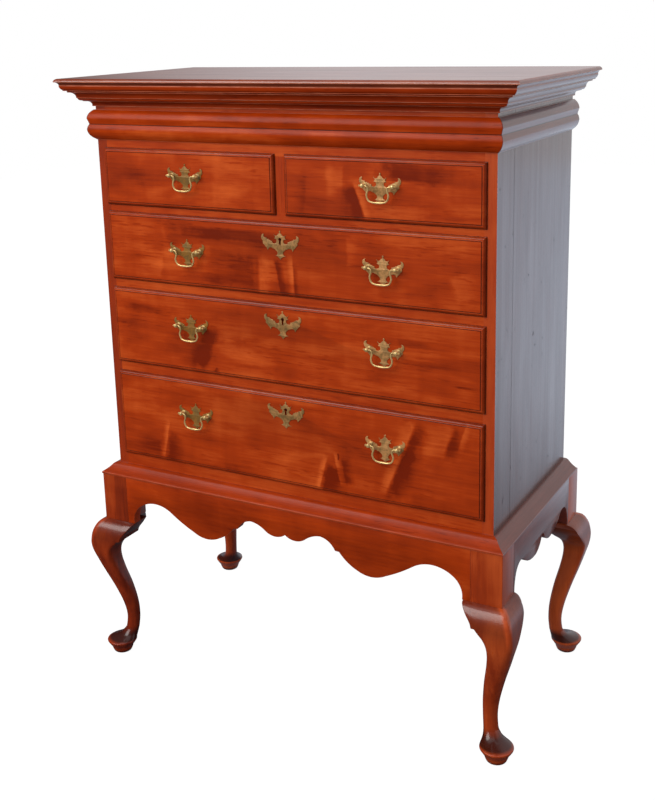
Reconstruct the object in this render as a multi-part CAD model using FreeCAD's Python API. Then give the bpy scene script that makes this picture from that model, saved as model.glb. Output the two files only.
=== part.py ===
import FreeCAD, Part
import math
import os
from collections import namedtuple
from FreeCAD import Vector

# Highboy: a chest of six drawers on a frame with shaped aprons and four cabriole legs.
# Millimetres, X right, Y back, Z up, floor at z = 0. Pieces are made with the front face of the
# case at y = 0, and save() moves them so that the whole piece stands centred on the origin.

# ---------------------------------------------------------------- driving dimensions
# Case
case_width = 914.0
case_depth = 451.0
side_thickness = 24.0
front_board_width = 90.0         # narrow board glued to the front edge of each side
rail_depth = 22.0                # front to back size of the drawer rails and the divider
rail_facing = 6.0                # front strip of a rail that takes a lock's bolt
bottom_thickness = 16.0
back_thickness = 10.0
back_rabbet = 12.0               # width of the rabbet that takes the back boards
back_board_count = 4

# Frame
leg_height = 345.0
apron_height = 110.0
post_size = 66.0
frame_projection = 30.0          # how far the frame stands out from the case, front and sides
frame_back_projection = 13.0
apron_thickness = 22.0
apron_rise = 68.5                # highest point of the front apron's cut-out above its feet
side_apron_rise = 55.0
back_apron_drop = 90.0           # height of the plain back apron
knee_projection = 30.0           # the knee's fullest point, out from the post's face
ankle_height = 62.0
pad_height = 30.0                # floor to the pad's rim
pad_radius = 34.8
foot_inset = 17.2                # pad centre, in along the diagonal from the post's outer corner
bearer_size = 25.0
knee_block_width = 16.0
knee_block_height = 42.0
side_knee_block_width = 9.0
side_knee_block_height = 27.0
knee_block_depth = 46.0          # in from the post's outer face

# Mouldings
waist_projection = 31.5
waist_height = 24.5
frieze_projection = 15.4
frieze_height = 64.0
neck_height = 7.5                # plain strip between the frieze and the cornice
cornice_projection = 53.0
cornice_height = 46.0
top_thickness = 14.5
top_projection = 61.0
top_undercut = 8.5               # the top's underside starts this far inside its tip
top_fillet = 1.5
top_round = 7.0

# Drawers: heights of the lipped fronts, and of the bare rail or reveal above each
lower_height = 198.0
middle_height = 171.0
upper_height = 150.0
small_height = 122.0
bottom_reveal = 27.5
lower_reveal = 22.5
middle_reveal = 20.0
upper_reveal = 16.0
small_reveal = 17.0
divider_reveal = 24.0            # bare divider between the two small drawers
frieze_lap = 8.0                 # the frieze covers its opening by this much above and below

front_thickness = 22.0
lip_overlap = 4.5
lip_proud = 8.0                  # face of a front, out from the case
lip_gap = 0.3                    # back of a lip to the case
seat_gap = 0.3                   # a drawer's underside to its runners
drawer_clearance = 1.0           # sides and top of a front in its opening
box_top_clearance = 3.0
box_side_thickness = 12.0
box_back_clearance = 16.0        # back of a drawer to the back boards
drawer_bottom_thickness = 6.0
groove_depth = 5.0
groove_height = 8.0              # bottom panel above the drawer's lower edge
tail_length = 11.0
tail_pitch = 48.0
tail_slope = math.radians(10.0)
runner_width = 20.0
runner_height = 20.0
partition_thickness = 20.0
frieze_mitre_gap = 0.8

# Brasses
pull_boring = 63.6               # between the two posts of a pull
plate_thickness = 1.2
small_pull_offset = 225.5        # pull centres from the middle of the case
long_pull_offset = 229.5
post_reach = 12.5                # post head's centre, out from the face of the front
shank_radius = 2.4
hole_clearance = 0.15
collar_radius = 4.6
head_radius = 4.4
neck_radius = 2.7
pin_radius = 1.3                 # ends of the bail, where they pass through the posts
eye_clearance = 0.3
bail_wire = 1.75                 # radius
bail_drop = 31.6
nut_size = 9.0
nut_thickness = 3.0
keyhole_radius = 3.3
keyhole_rise = 6.0
keyhole_slot = 3.6
keyhole_foot = 5.0

# Locks
lock_width = 54.0
lock_height = 42.0
lock_depth = 9.0
bolt_width = 12.0
bolt_thickness = 4.6
bolt_length = 22.0
bolt_clearance = 0.2
bolt_head_gap = 0.5              # bolt below the drawer's top edge when it is drawn back
bolt_room = 1.0                  # rail clear of each side of the bolt

# ---------------------------------------------------------------- places that follow from them
half_case = case_width / 2
case_bottom = leg_height + apron_height
inner_half = half_case - side_thickness
lip_half = inner_half + lip_overlap
lower_bottom = case_bottom + waist_height + bottom_reveal
middle_bottom = lower_bottom + lower_height + lower_reveal
upper_bottom = middle_bottom + middle_height + middle_reveal
small_bottom = upper_bottom + upper_height + upper_reveal
frieze_bottom = small_bottom + small_height + small_reveal
neck_bottom = frieze_bottom + frieze_height
cornice_bottom = neck_bottom + neck_height
case_top = cornice_bottom + cornice_height
back_inside = case_depth - back_thickness
face_y = -lip_proud
body_back = front_thickness - lip_proud
box_back = back_inside - box_back_clearance

frame_half = half_case + frame_projection
frame_front = -frame_projection
frame_back = case_depth + frame_back_projection
frame_middle = (frame_front + frame_back) / 2
apron_half_span = frame_half - post_size
side_apron_half_span = (frame_back - frame_front) / 2 - post_size

front_reach = max(top_projection, frame_projection + knee_projection)
back_reach = frame_back + knee_projection
centring = (front_reach - back_reach) / 2

# A drawer is the rectangle of its lipped front, with the pulls' centres, the height of their
# posts below the front's top edge and the height of the escutcheon (None where there is none).
Drawer = namedtuple("Drawer", "name left right bottom top pulls pull_drop escutcheon_drop")
small_inner = divider_reveal / 2
DRAWERS = [
    Drawer("lower_long", -lip_half, lip_half, lower_bottom, lower_bottom + lower_height,
           (-long_pull_offset, long_pull_offset), 74.0, 37.5),
    Drawer("middle_long", -lip_half, lip_half, middle_bottom, middle_bottom + middle_height,
           (-long_pull_offset, long_pull_offset), 67.5, 36.0),
    Drawer("upper_long", -lip_half, lip_half, upper_bottom, upper_bottom + upper_height,
           (-long_pull_offset, long_pull_offset), 72.5, 39.0),
    Drawer("small_left", -lip_half, -small_inner, small_bottom, small_bottom + small_height,
           (-small_pull_offset,), 51.0, None),
    Drawer("small_right", small_inner, lip_half, small_bottom, small_bottom + small_height,
           (small_pull_offset,), 51.0, None),
]
FRIEZE = Drawer("frieze", -lip_half, lip_half, frieze_bottom + frieze_lap - lip_overlap,
                neck_bottom - frieze_lap + lip_overlap, (), 0.0, None)

# ---------------------------------------------------------------- drawn profiles
# A path starts with a point. Each further entry is a point (a straight line to it) or
# ("arc", via, end). Profiles give (out from the case, up).
WAIST = [(0, 0), (30.5, 0), (31.5, 2.2), (31.3, 4.5), (29, 6.4),
         ("arc", (19.6, 13.2), (11.9, 21.3)), (7.6, 23.9), (1.3, 24.5), (0, 24.5)]
FRIEZE_TORUS = [(0, 0), (2, 0), (2, 1), ("arc", (10.8, 9), (15.4, 21.5)),
                ("arc", (14.2, 28), (11.3, 33.5)), ("arc", (12.6, 38.5), (15, 45.5)),
                ("arc", (12.4, 54.5), (4, 63.5)), (4, 64), (0, 64)]
CORNICE = [(0, 0), (4.8, 0), (4.8, 2), (5.9, 6.8), (10.8, 10.6), (18.8, 11.4), (18.8, 13.2),
           (24.4, 14.4), (26.4, 18.2), (28, 18.2), (28, 20), ("arc", (31.4, 27.6), (40, 30.8)),
           (41.2, 30.8), (41.2, 34.4), (47.5, 34.4), (47.5, 36.2), (51.4, 40.2), (53, 46), (0, 46)]

# Edge of a drawer front: (in from the edge, out from the case).
LIP_EDGE = [(0, lip_gap), (0, 2.8), (1.9, 5.4), (6.3, 6.9), (6.3, lip_proud)]

# Lower edges of the aprons, right half: (from the middle, above the apron's feet).
APRON_EDGE = [(0, 54), ("arc", (27, 45.5), (50, 54.5)), ("arc", (65, 63.5), (85, 68.5)),
              ("arc", (105, 61.5), (119, 46)), (121, 43.5), (130, 43), ("arc", (147, 25.5), (172, 10)),
              ("arc", (203, 2.5), (236, 11.5)), ("arc", (272, 30), (300, 48)),
              ("arc", (338, 59.5), (380, 48)), ("arc", (399, 28), (403.5, 0)), (421, 0)]
SIDE_APRON_EDGE = [(0, 55), ("arc", (5.2, 51.4), (9, 46)), ("arc", (27, 30), (56, 25)),
                   ("arc", (88, 30.5), (112, 42)), ("arc", (143, 54), (165, 41)),
                   ("arc", (173, 22), (175, 0)), (181, 0)]

# Knee block: (away from the leg's inner face, below the frame).
KNEE_BLOCK = [(-35, 0), (16, 0), (12.5, 5), (4, 18), (-5, 29), (-11, 42), (-35, 42)]

# Cabriole leg from the post to the ankle: height, how far the outer and inner faces stand from
# the post's outer face, and the radii of the outer, side and inner corners.
Section = namedtuple("Section", "height out inner r_out r_side r_in")
LEG = [Section(345, -0.6, 65.4, 2, 2, 3), Section(341, 9.5, 66, 3, 2, 3), Section(332, 17.6, 66, 4, 2, 4),
       Section(316, 25.2, 59, 6, 2, 7), Section(298, 28.9, 44, 8, 3, 10),
       Section(284, 29.8, 31, 10, 4, 12), Section(268, 28, 25.2, 12, 6, 12),
       Section(246, 22.3, 25.3, 14, 9, 13), Section(215, 13.2, 30.6, 16, 12, 14),
       Section(170, -1.4, 41, 16, 15, 15.5), Section(125, -13.6, 48, 16, 16, 16),
       Section(90, -18.8, 49.4, 15.3, 15.3, 15.3), Section(62, -17, 47.5, 15.2, 15.2, 15.2)]
SECTION_COUNT = 12              # round each section of a leg

# Pad foot: rings along the leg's diagonal from the ankle down, as height, radius and how far
# in from the post's outer corner. PAD goes on from the widest ring to the floor, as shares of
# the pad's height and radius.
Ring = namedtuple("Ring", "height radius inset")
FOOT = [Ring(62, 15.2, 45.6), Ring(52, 16.6, 42), Ring(43, 20.5, 35.5), Ring(37, 26.5, 27.5),
        Ring(32.5, 33, 19.5), Ring(30, 34.8, 17.2)]
PAD = [(0.87, 0.985), (0.62, 0.84), (0.42, 0.72), (0.3, 0.69), (0, 0.55)]

# Batwing plate, right half: (from its middle, above the posts).
BATWING = [(0, 24.2), (2.1, 22.8), (1.3, 20.2), (4.6, 16.8), (9, 13), (13.8, 15.5), (11, 10.8),
           (13.5, 7.5), (9.5, 6.5), (7.8, 1.6), (12.3, -3), (18.4, 2), (26, 4.5), (31, 8.6),
           (38.2, 9.8), (38.3, 15.5), (43.9, 7.5), (39.8, 1), (39.9, -5), (29, -17),
           (27.3, -12.8), (17, -13), (9.4, -17.2), (6.8, -24.5), (12.5, -28), (5.6, -30), (0, -35.5)]

# Bail, right half, from the ball outside the post to the grip: (from the middle, below the
# pivot, thickness as a multiple of the wire's, or 0 for the pins in the posts).
BAIL = [(39.4, 0, 1.1), (38, 0, 1.7), (36.7, 0, 0), (26, 0, 0),
        (22.2, 3.2, 1), (21.4, 10, 1), (22.8, 20.5, 1), (18.6, 29, 1), (9, 31.6, 1)]

# How many flats go round turned pieces, post tails and wires.
TURNED_COUNT = 6
SHANK_COUNT = 4
WIRE_COUNT = 6


# ---------------------------------------------------------------- shape helpers
def box(x0, x1, y0, y1, z0, z1):
    return Part.makeBox(x1 - x0, y1 - y0, z1 - z0, Vector(x0, y0, z0))


def segments(path):
    """Split a path into its lines and arcs, each with all its points."""
    pieces = []
    here = path[0]
    for step in path[1:]:
        if step[0] == "arc":
            pieces.append(("arc", [here, *step[1:]]))
            here = step[-1]
        else:
            pieces.append(("line", [here, step]))
            here = step
    return pieces


def mapped(path, change):
    """The same path with every point changed by a function."""
    result = [change(path[0])]
    for step in path[1:]:
        if step[0] == "arc":
            result.append(("arc", *(change(point) for point in step[1:])))
        else:
            result.append(change(step))
    return result


def reflected(path):
    """The path run backwards on the other side of a = 0."""
    pieces = segments(path)
    last = pieces[-1][1][-1]
    result = [(-last[0], last[1])]
    for kind, points in reversed(pieces):
        back = [(-a, b) for a, b in reversed(points)][1:]
        result.append(back[0] if kind == "line" else ("arc", *back))
    return result


def extents(path):
    """Largest first value of a path, and its lowest and highest second values."""
    points = [point for kind, run in segments(path) for point in run]
    return max(a for a, b in points), min(b for a, b in points), max(b for a, b in points)


def fitted(path, reach, height):
    """Stretch a drawn path so that its largest values are the named reach and height."""
    widest, low, high = extents(path)
    across = reach / widest
    up = height / high
    return mapped(path, lambda p: (p[0] * across, p[1] * up))


def wire(path, place):
    """Closed wire of a path, with place turning a pair into a point in space."""
    edges = []
    for kind, points in segments(path):
        spots = [place(a, b) for a, b in points]
        edge = Part.LineSegment(*spots) if kind == "line" else Part.Arc(*spots)
        edges.append(edge.toShape())
    first = edges[0].firstVertex(True).Point
    last = edges[-1].lastVertex(True).Point
    if first.distanceToPoint(last) > 1e-6:
        edges.append(Part.LineSegment(last, first).toShape())
    return Part.Wire(edges)


def prism_x(path, x0, x1):
    """Solid of a (y, z) path from x0 to x1."""
    return Part.Face(wire(path, lambda a, b: Vector(x0, a, b))).extrude(Vector(x1 - x0, 0, 0))


def prism_y(path, y0, y1):
    """Solid of an (x, z) path from y0 to y1."""
    return Part.Face(wire(path, lambda a, b: Vector(a, y0, b))).extrude(Vector(0, y1 - y0, 0))


def prism_z(path, z0, z1):
    """Solid of an (x, y) path from z0 to z1."""
    return Part.Face(wire(path, lambda a, b: Vector(a, b, z0))).extrude(Vector(0, 0, z1 - z0))


def skin(rings):
    """Solid with flat facets from ring to ring, each ring a list of equally many points."""
    ends = [Part.Face(Part.makePolygon(ring + ring[:1])) for ring in (rings[0], rings[-1])]
    facets = []
    for near, far in zip(rings, rings[1:]):
        for i in range(len(near)):
            j = (i + 1) % len(near)
            facets.append(Part.Face(Part.makePolygon([near[i], near[j], far[j], near[i]])))
            facets.append(Part.Face(Part.makePolygon([near[i], far[j], far[i], near[i]])))
    solid = Part.makeSolid(Part.makeShell(ends + facets))
    if solid.Volume < 0:
        solid.reverse()
    return solid


def turned(profile, x, z, flats):
    """Piece turned about a line along Y, from a profile of (radius, y) with flats round it."""
    angles = [2 * math.pi * (i + 0.5) / flats for i in range(flats)]
    return skin([[Vector(x + radius * math.cos(t), y, z + radius * math.sin(t)) for t in angles]
                 for radius, y in profile])


def flip_x(shape):
    return shape.mirror(Vector(0, 0, 0), Vector(1, 0, 0))


def flip_y(shape):
    """Mirror from the front of the frame to its back."""
    return shape.mirror(Vector(0, frame_middle, 0), Vector(0, 1, 0))


def both_sides(shape):
    return [flip_x(shape), shape]


def save(name, solids):
    """Write one node, moved so that the whole piece is centred front to back."""
    shape = solids[0] if len(solids) == 1 else Part.makeCompound(solids)
    shape = shape.copy()
    shape.translate(Vector(0, centring, 0))
    shape.exportStep("parts/" + name + ".step")


# ---------------------------------------------------------------- case
def case_side():
    """Right side: a narrow front board and a wide rear one with the rabbet for the back."""
    front = box(inner_half, half_case, 0, front_board_width, case_bottom, case_top)
    rear = box(inner_half, half_case, front_board_width, case_depth, case_bottom, case_top)
    rabbet = box(inner_half, inner_half + back_rabbet, back_inside, case_depth, case_bottom, case_top)
    return [front, rear.cut(rabbet)]


def back_boards():
    reach = inner_half + back_rabbet
    width = 2 * reach / back_board_count
    return [box(-reach + i * width, -reach + (i + 1) * width, back_inside, case_depth, case_bottom, case_top)
            for i in range(back_board_count)]


def top_board():
    """Board with a moulded edge on the front and both ends, flush with the back."""
    crown = case_top + top_thickness

    def edge(reach):
        tip = reach + top_projection
        foot = tip - top_undercut
        shoulder = case_top + top_thickness / 2
        arris = shoulder + top_fillet
        return [(foot, case_top), ("arc", (foot + 0.3 * top_undercut, case_top + 0.7 * (shoulder - case_top)),
                                   (tip, shoulder)), (tip, arris),
                ("arc", (tip - 0.37 * top_round, crown - 0.3 * (crown - arris)), (tip - top_round, crown))]

    ends = prism_y(reflected(edge(half_case)) + edge(half_case), -top_projection, case_depth)
    front = mapped(edge(0), lambda p: (-p[0], p[1])) + [(case_depth, crown), (case_depth, case_top)]
    reach = half_case + top_projection
    return ends.common(prism_x(front, -reach, reach))


def opening(drawer):
    """Left, right, bottom and top of the opening behind a drawer's lip."""
    return (drawer.left + lip_overlap, drawer.right - lip_overlap,
            drawer.bottom + lip_overlap, drawer.top - lip_overlap)


def rails():
    """Cross rails that fill the case's front between the openings.

    A rail above a lock is a thin facing over two strips, with a gap between them for the bolt.
    """
    levels = [case_bottom]
    for drawer in (*DRAWERS[:4], FRIEZE):
        levels += opening(drawer)[2:]
    levels.append(case_top)
    bolted = [opening(drawer)[3] for drawer in DRAWERS if drawer.escutcheon_drop is not None]
    pieces = []
    for low, high in zip(levels[::2], levels[1::2]):
        if low in bolted:
            pieces.append(box(-inner_half, inner_half, 0, rail_facing, low, high))
            gap = bolt_width / 2 + bolt_room
            pieces += both_sides(box(gap, inner_half, rail_facing, rail_depth, low, high))
        else:
            pieces.append(box(-inner_half, inner_half, 0, rail_depth, low, high))
    return pieces


def divider():
    """Upright between the small drawers: a front block and a partition behind it."""
    left, right, low, high = opening(DRAWERS[4])
    block = box(-left, left, 0, rail_depth, low, high)
    half = partition_thickness / 2
    return [block, box(-half, half, rail_depth, back_inside, low, high)]


def runners():
    """Strips on the sides that carry each drawer, and a wide one under the partition."""
    pieces = []
    for drawer in (*DRAWERS[:4], FRIEZE):
        top = opening(drawer)[2]
        pieces += both_sides(box(inner_half - runner_width, inner_half, rail_depth, back_inside,
                                 top - runner_height, top))
    left, right, top, high = opening(DRAWERS[4])
    reach = left + runner_width
    pieces.append(box(-reach, reach, rail_depth, back_inside, top - runner_height, top))
    return pieces


# ---------------------------------------------------------------- mouldings
def mitred_front(path, gap=0.0):
    """Moulding across the front, cut at 45 degrees from the case's corners."""
    reach, low, high = extents(path)
    corner = half_case - gap
    bar = prism_x(mapped(path, lambda p: (-p[0], p[1])), -half_case - reach, half_case + reach)
    wedge = [(-corner, 0), (-corner - reach, -reach), (corner + reach, -reach), (corner, 0)]
    return bar.common(prism_z(wedge, low, high))


def mitred_returns(path):
    """The same moulding back along both sides of the case."""
    reach, low, high = extents(path)
    bar = prism_y(mapped(path, lambda p: (half_case + p[0], p[1])), -reach, case_depth)
    wedge = [(half_case, 0), (half_case + reach, -reach), (half_case + reach, case_depth),
             (half_case, case_depth)]
    return both_sides(bar.common(prism_z(wedge, low, high)))


def lifted(path, height):
    return mapped(path, lambda p: (p[0], p[1] + height))


waist_path = lifted(fitted(WAIST, waist_projection, waist_height), case_bottom)
frieze_path = lifted(fitted(FRIEZE_TORUS, frieze_projection, frieze_height), frieze_bottom)
cornice_path = lifted(fitted(CORNICE, cornice_projection, cornice_height), cornice_bottom)


# ---------------------------------------------------------------- frame
def between(value, drawn, wanted):
    """Carry a drawn value over to the named range, end to end."""
    share = (value - drawn[0]) / (drawn[1] - drawn[0])
    return wanted[0] + share * (wanted[1] - wanted[0])


def leg_sections():
    """The drawn sections of the leg at the named height, knee and post size."""
    thick = post_size / max(s.inner for s in LEG)
    full = knee_projection / max(s.out for s in LEG)
    drawn = (LEG[0].height, LEG[-1].height)
    return [Section(between(s.height, drawn, (leg_height, ankle_height)), s.out * full, s.inner * thick,
                    s.r_out * thick, s.r_side * thick, s.r_in * thick) for s in LEG]


def section_ring(section):
    """Rounded square: each quarter is a superellipse with its own corner.

    In the direction t the ring lies at a (|cos t|^n + |sin t|^n)^(-1/n), where a is half the
    section's width and n is chosen so that the corner lies as far out as one of the wanted radius.
    """
    half = (section.out + section.inner) / 2
    middle = (section.out - section.inner) / 2
    ring = []
    for i in range(SECTION_COUNT):
        t = 2 * math.pi * i / SECTION_COUNT
        c, s = math.cos(t), math.sin(t)
        if c * s < 0:
            radius = section.r_side
        else:
            radius = section.r_out if c + s > 0 else section.r_in
        power = -math.log(2) / math.log(1 - (1 - math.sqrt(0.5)) * min(radius / half, 1))
        reach = half * (abs(c) ** power + abs(s) ** power) ** (-1 / power)
        ring.append(Vector(frame_half + middle + reach * c, frame_front - middle - reach * s, section.height))
    return ring


def foot_sections(ankle):
    """Rings of the pad foot, from just under the ankle to the floor."""
    drawn_first, drawn_last = FOOT[0], FOOT[-1]
    ankle_radius = (ankle.out + ankle.inner) / 2
    ankle_inset = (ankle.inner - ankle.out) / math.sqrt(2)
    rings = []
    for ring in FOOT[1:]:
        height = between(ring.height, (drawn_first.height, drawn_last.height), (ankle_height, pad_height))
        radius = between(ring.radius, (drawn_first.radius, drawn_last.radius), (ankle_radius, pad_radius))
        inset = between(ring.inset, (drawn_first.inset, drawn_last.inset), (ankle_inset, foot_inset))
        rings.append((height, radius, inset))
    for height, radius in PAD:
        rings.append((height * pad_height, radius * pad_radius, foot_inset))
    return [Section(height, radius - inset / math.sqrt(2), radius + inset / math.sqrt(2),
                    radius, radius, radius) for height, radius, inset in rings]


def leg():
    """Front right leg: square post, cabriole leg and pad foot in one piece of wood."""
    post = box(frame_half - post_size, frame_half, frame_front, frame_front + post_size,
               leg_height, case_bottom)
    sections = leg_sections()
    sections += foot_sections(sections[-1])
    return post.fuse(skin([section_ring(section) for section in sections]))


def knee_block(width, height):
    """Bracket between the front right leg and the front apron, shaped to the knee outside."""
    path = mapped(fitted(KNEE_BLOCK, width, height), lambda p: (apron_half_span - p[0], leg_height - p[1]))
    inner = frame_front + knee_block_depth
    outline = prism_y(path, frame_front - knee_projection, inner)
    lowest = leg_height - 1.5 * height
    knee = [(frame_front - s.out, s.height) for s in leg_sections() if s.height > lowest]
    side = [(inner, leg_height), *knee, (inner, knee[-1][1])]
    return outline.common(prism_x(side, apron_half_span - width, frame_half))


def knee_blocks(own_leg):
    """Two blocks on each leg, cut to its surface."""
    front = knee_block(knee_block_width, knee_block_height)
    side = knee_block(side_knee_block_width, side_knee_block_height)
    side = side.mirror(Vector(frame_half, frame_front, 0), Vector(1, 1, 0))
    pair = [max(block.cut(own_leg).Solids, key=lambda solid: solid.Volume) for block in (front, side)]
    pair += [flip_y(piece) for piece in pair]
    return pair + [flip_x(piece) for piece in pair]


def apron_path(edge, half_span, rise):
    lower = lifted(fitted(edge, half_span, rise), leg_height)
    return reflected(lower) + lower[1:] + [(half_span, case_bottom), (-half_span, case_bottom)]


def front_apron():
    path = apron_path(APRON_EDGE, apron_half_span, apron_rise)
    return prism_y(path, frame_front, frame_front + apron_thickness)


def side_apron():
    path = apron_path(SIDE_APRON_EDGE, side_apron_half_span, side_apron_rise)
    path = mapped(path, lambda p: (frame_middle + p[0], p[1]))
    return prism_x(path, frame_half - apron_thickness, frame_half)


def bearers():
    """Strips inside the aprons whose tops carry the case."""
    low = case_bottom - bearer_size
    front_y = frame_front + apron_thickness
    back_y = frame_back - apron_thickness
    side_x = frame_half - apron_thickness
    across = apron_half_span
    return [box(-across, across, front_y, front_y + bearer_size, low, case_bottom),
            box(-across, across, back_y - bearer_size, back_y, low, case_bottom),
            *both_sides(box(side_x - bearer_size, side_x, frame_front + post_size, frame_back - post_size,
                            low, case_bottom))]


# ---------------------------------------------------------------- drawers
def body_limits(drawer):
    """Left, right, bottom and top of the part of a front that enters its opening."""
    left, right, low, high = opening(drawer)
    return left + drawer_clearance, right - drawer_clearance, low + seat_gap, high - drawer_clearance


def lip_path(low, high):
    """Section of a front from edge to edge: (along, out from the case)."""
    middle, half = (low + high) / 2, (high - low) / 2
    edge = mapped(LIP_EDGE, lambda p: (half - p[0], p[1]))
    return mapped(edge + reflected(edge), lambda p: (middle + p[0], p[1]))


def lipped_face(drawer):
    """Face of a front, with its lip moulded on all four edges and mitred at the corners."""
    across = mapped(lip_path(drawer.left, drawer.right), lambda p: (p[0], -p[1]))
    upright = mapped(lip_path(drawer.bottom, drawer.top), lambda p: (-p[1], p[0]))
    return prism_z(across, drawer.bottom, drawer.top).common(prism_x(upright, drawer.left, drawer.right))


def frieze_face():
    """The torus moulding that hides the top drawer, a little clear of the case and its returns."""
    path = mapped(frieze_path, lambda p: (max(p[0], lip_gap), p[1]))
    return mitred_front(path, frieze_mitre_gap)


def drawer_side(drawer, x):
    """Side of a drawer box from x inwards, with the dovetails that enter the front."""
    low = body_limits(drawer)[2]
    high = opening(drawer)[3] - box_top_clearance
    count = max(2, round((high - low) / tail_pitch))
    pitch = (high - low) / count
    root = pitch / 4
    tip = root + tail_length * math.tan(tail_slope)
    end = body_back - tail_length
    path = [(box_back, low), (body_back, low)]
    for i in range(count):
        middle = low + (i + 0.5) * pitch
        path += [(body_back, middle - root), (end, middle - tip),
                 (end, middle + tip), (body_back, middle + root)]
    path += [(body_back, high), (box_back, high)]
    return prism_x(path, x, x + box_side_thickness)


def bottom_panel(drawer):
    left, right, low, high = body_limits(drawer)
    inset = box_side_thickness - groove_depth
    z = low + groove_height
    return box(left + inset, right - inset, body_back - groove_depth, box_back,
               z, z + drawer_bottom_thickness)


def drawer_box(drawer):
    """Two dovetailed sides and the back, which stands on the bottom panel."""
    left, right, low, high = body_limits(drawer)
    panel = bottom_panel(drawer)
    sides = [drawer_side(drawer, left), drawer_side(drawer, right - box_side_thickness)]
    back_low = low + groove_height + drawer_bottom_thickness
    back_high = opening(drawer)[3] - 2 * box_top_clearance
    back = box(left + box_side_thickness, right - box_side_thickness, box_back - box_side_thickness, box_back,
               back_low, back_high)
    return [sides[0].cut(panel), sides[1].cut(panel), back]


def keyhole(drawer, y0, y1):
    """Round head and slot of a keyhole, as the space that it takes."""
    z = drawer.top - drawer.escutcheon_drop
    head = turned([(keyhole_radius, y0), (keyhole_radius, y1)], 0, z + keyhole_rise, TURNED_COUNT)
    half = keyhole_slot / 2
    return head.fuse(box(-half, half, y0, y1, z - keyhole_foot, z + keyhole_rise))


def drawer_front(drawer):
    face = frieze_face() if drawer is FRIEZE else lipped_face(drawer)
    left, right, low, high = body_limits(drawer)
    front = face.fuse(box(left, right, -lip_gap, body_back, low, high))
    joints = drawer_box(drawer)[:2] + [bottom_panel(drawer)]
    bore = shank_radius + hole_clearance
    holes = [turned([(bore, face_y), (bore, body_back)], x, z, SHANK_COUNT) for x, z in post_places(drawer)]
    if drawer.escutcheon_drop is not None:
        holes += [lock_body(drawer), keyhole(drawer, face_y, body_back)]
    return front.cut(joints + holes)


# ---------------------------------------------------------------- locks
def lock_body(drawer):
    high = body_limits(drawer)[3]
    return box(-lock_width / 2, lock_width / 2, body_back - lock_depth, body_back, high - lock_height, high)


def bolt_box(drawer, grow, low, high):
    """Space of the bolt, grown by a clearance, between two heights."""
    middle = body_back - lock_depth / 2
    half_x = bolt_width / 2 + grow
    half_y = bolt_thickness / 2 + grow
    return box(-half_x, half_x, middle - half_y, middle + half_y, low, high)


def bolt(drawer):
    top = body_limits(drawer)[3] - bolt_head_gap
    return bolt_box(drawer, 0, top - bolt_length, top)


def lock_case(drawer):
    high = body_limits(drawer)[3]
    channel = bolt_box(drawer, bolt_clearance, high - bolt_head_gap - bolt_length - bolt_clearance, high)
    return lock_body(drawer).cut([channel, keyhole(drawer, face_y, body_back - lock_depth / 2)])


# ---------------------------------------------------------------- brasses
def post_places(drawer):
    z = drawer.top - drawer.pull_drop
    return [(x + side * pull_boring / 2, z) for x in drawer.pulls for side in (-1, 1)]


def batwing(x, z):
    path = mapped(BATWING + reflected(BATWING)[1:], lambda p: (x + p[0], z + p[1]))
    return prism_y(path, face_y - plate_thickness, face_y)


def shank(x, z):
    """Square tail of a post, from the plate's face to the back of the front."""
    return turned([(shank_radius, face_y - plate_thickness), (shank_radius, body_back)], x, z, SHANK_COUNT)


def post(x, z):
    """Cast post of a pull: shank, collar, neck and a round head bored for the bail."""
    seat = face_y - plate_thickness
    head_y = face_y - post_reach
    band = 0.4 * head_radius
    solid = turned([(collar_radius, seat), (neck_radius, seat - 2.2), (head_radius, head_y + band),
                    (head_radius, head_y - band), (neck_radius, head_y - head_radius)], x, z, TURNED_COUNT)
    eye = Part.makeCylinder(pin_radius + eye_clearance, 4 * head_radius,
                            Vector(x - 2 * head_radius, head_y, z), Vector(1, 0, 0))
    return solid.fuse(shank(x, z)).cut(eye)


def nut(x, z):
    """Square cap nut on the end of a shank."""
    half = nut_size / 2
    return box(x - half, x + half, body_back, body_back + nut_thickness, z - half, z + half)


def brasses(drawer):
    """Plates, posts and nuts of one drawer, and its escutcheon."""
    places = post_places(drawer)
    plates = [batwing(x, drawer.top - drawer.pull_drop).cut([shank(*place) for place in places])
              for x in drawer.pulls]
    pieces = plates + [post(x, z) for x, z in places] + [nut(x, z) for x, z in places]
    if drawer.escutcheon_drop is not None:
        shield = batwing(0, drawer.top - drawer.escutcheon_drop)
        pieces.append(shield.cut(keyhole(drawer, face_y - plate_thickness, face_y)))
    return pieces


def wire_run(line, y, flats):
    """Round wire along straight runs in the plane at y, mitred where they meet.

    Each entry of the line is (x, z, radius). The ring at an entry stands square to the mean of
    the two runs' directions, and is widened by 1 / cos(half the turn) within that plane.
    """
    rings = []
    for i, (x, z, radius) in enumerate(line):
        runs = list(zip(line, line[1:]))[max(i - 1, 0):i + 1]
        headings = [math.atan2(end[1] - start[1], end[0] - start[0]) for start, end in runs]
        turn = math.remainder(headings[-1] - headings[0], 2 * math.pi)
        across = headings[0] + turn / 2 + math.pi / 2
        widened = radius / math.cos(turn / 2)
        ring = []
        for k in range(flats):
            t = 2 * math.pi * (k + 0.5) / flats
            ring.append(Vector(x + widened * math.cos(t) * math.cos(across), y + radius * math.sin(t),
                               z + widened * math.cos(t) * math.sin(across)))
        rings.append(ring)
    return skin(rings)


def bail(x, z):
    """Swinging handle: a wire along its bends, with a ball outside each post."""
    scale = bail_drop / max(drop for across, drop, thick in BAIL)
    right = [(x + across, z - drop * scale, thick * bail_wire or pin_radius) for across, drop, thick in BAIL]
    left = [(2 * x - a, b, radius) for a, b, radius in reversed(right)]
    return wire_run(right + left, face_y - post_reach, WIRE_COUNT)


# ---------------------------------------------------------------- all pieces
os.makedirs("parts", exist_ok=True)

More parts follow.
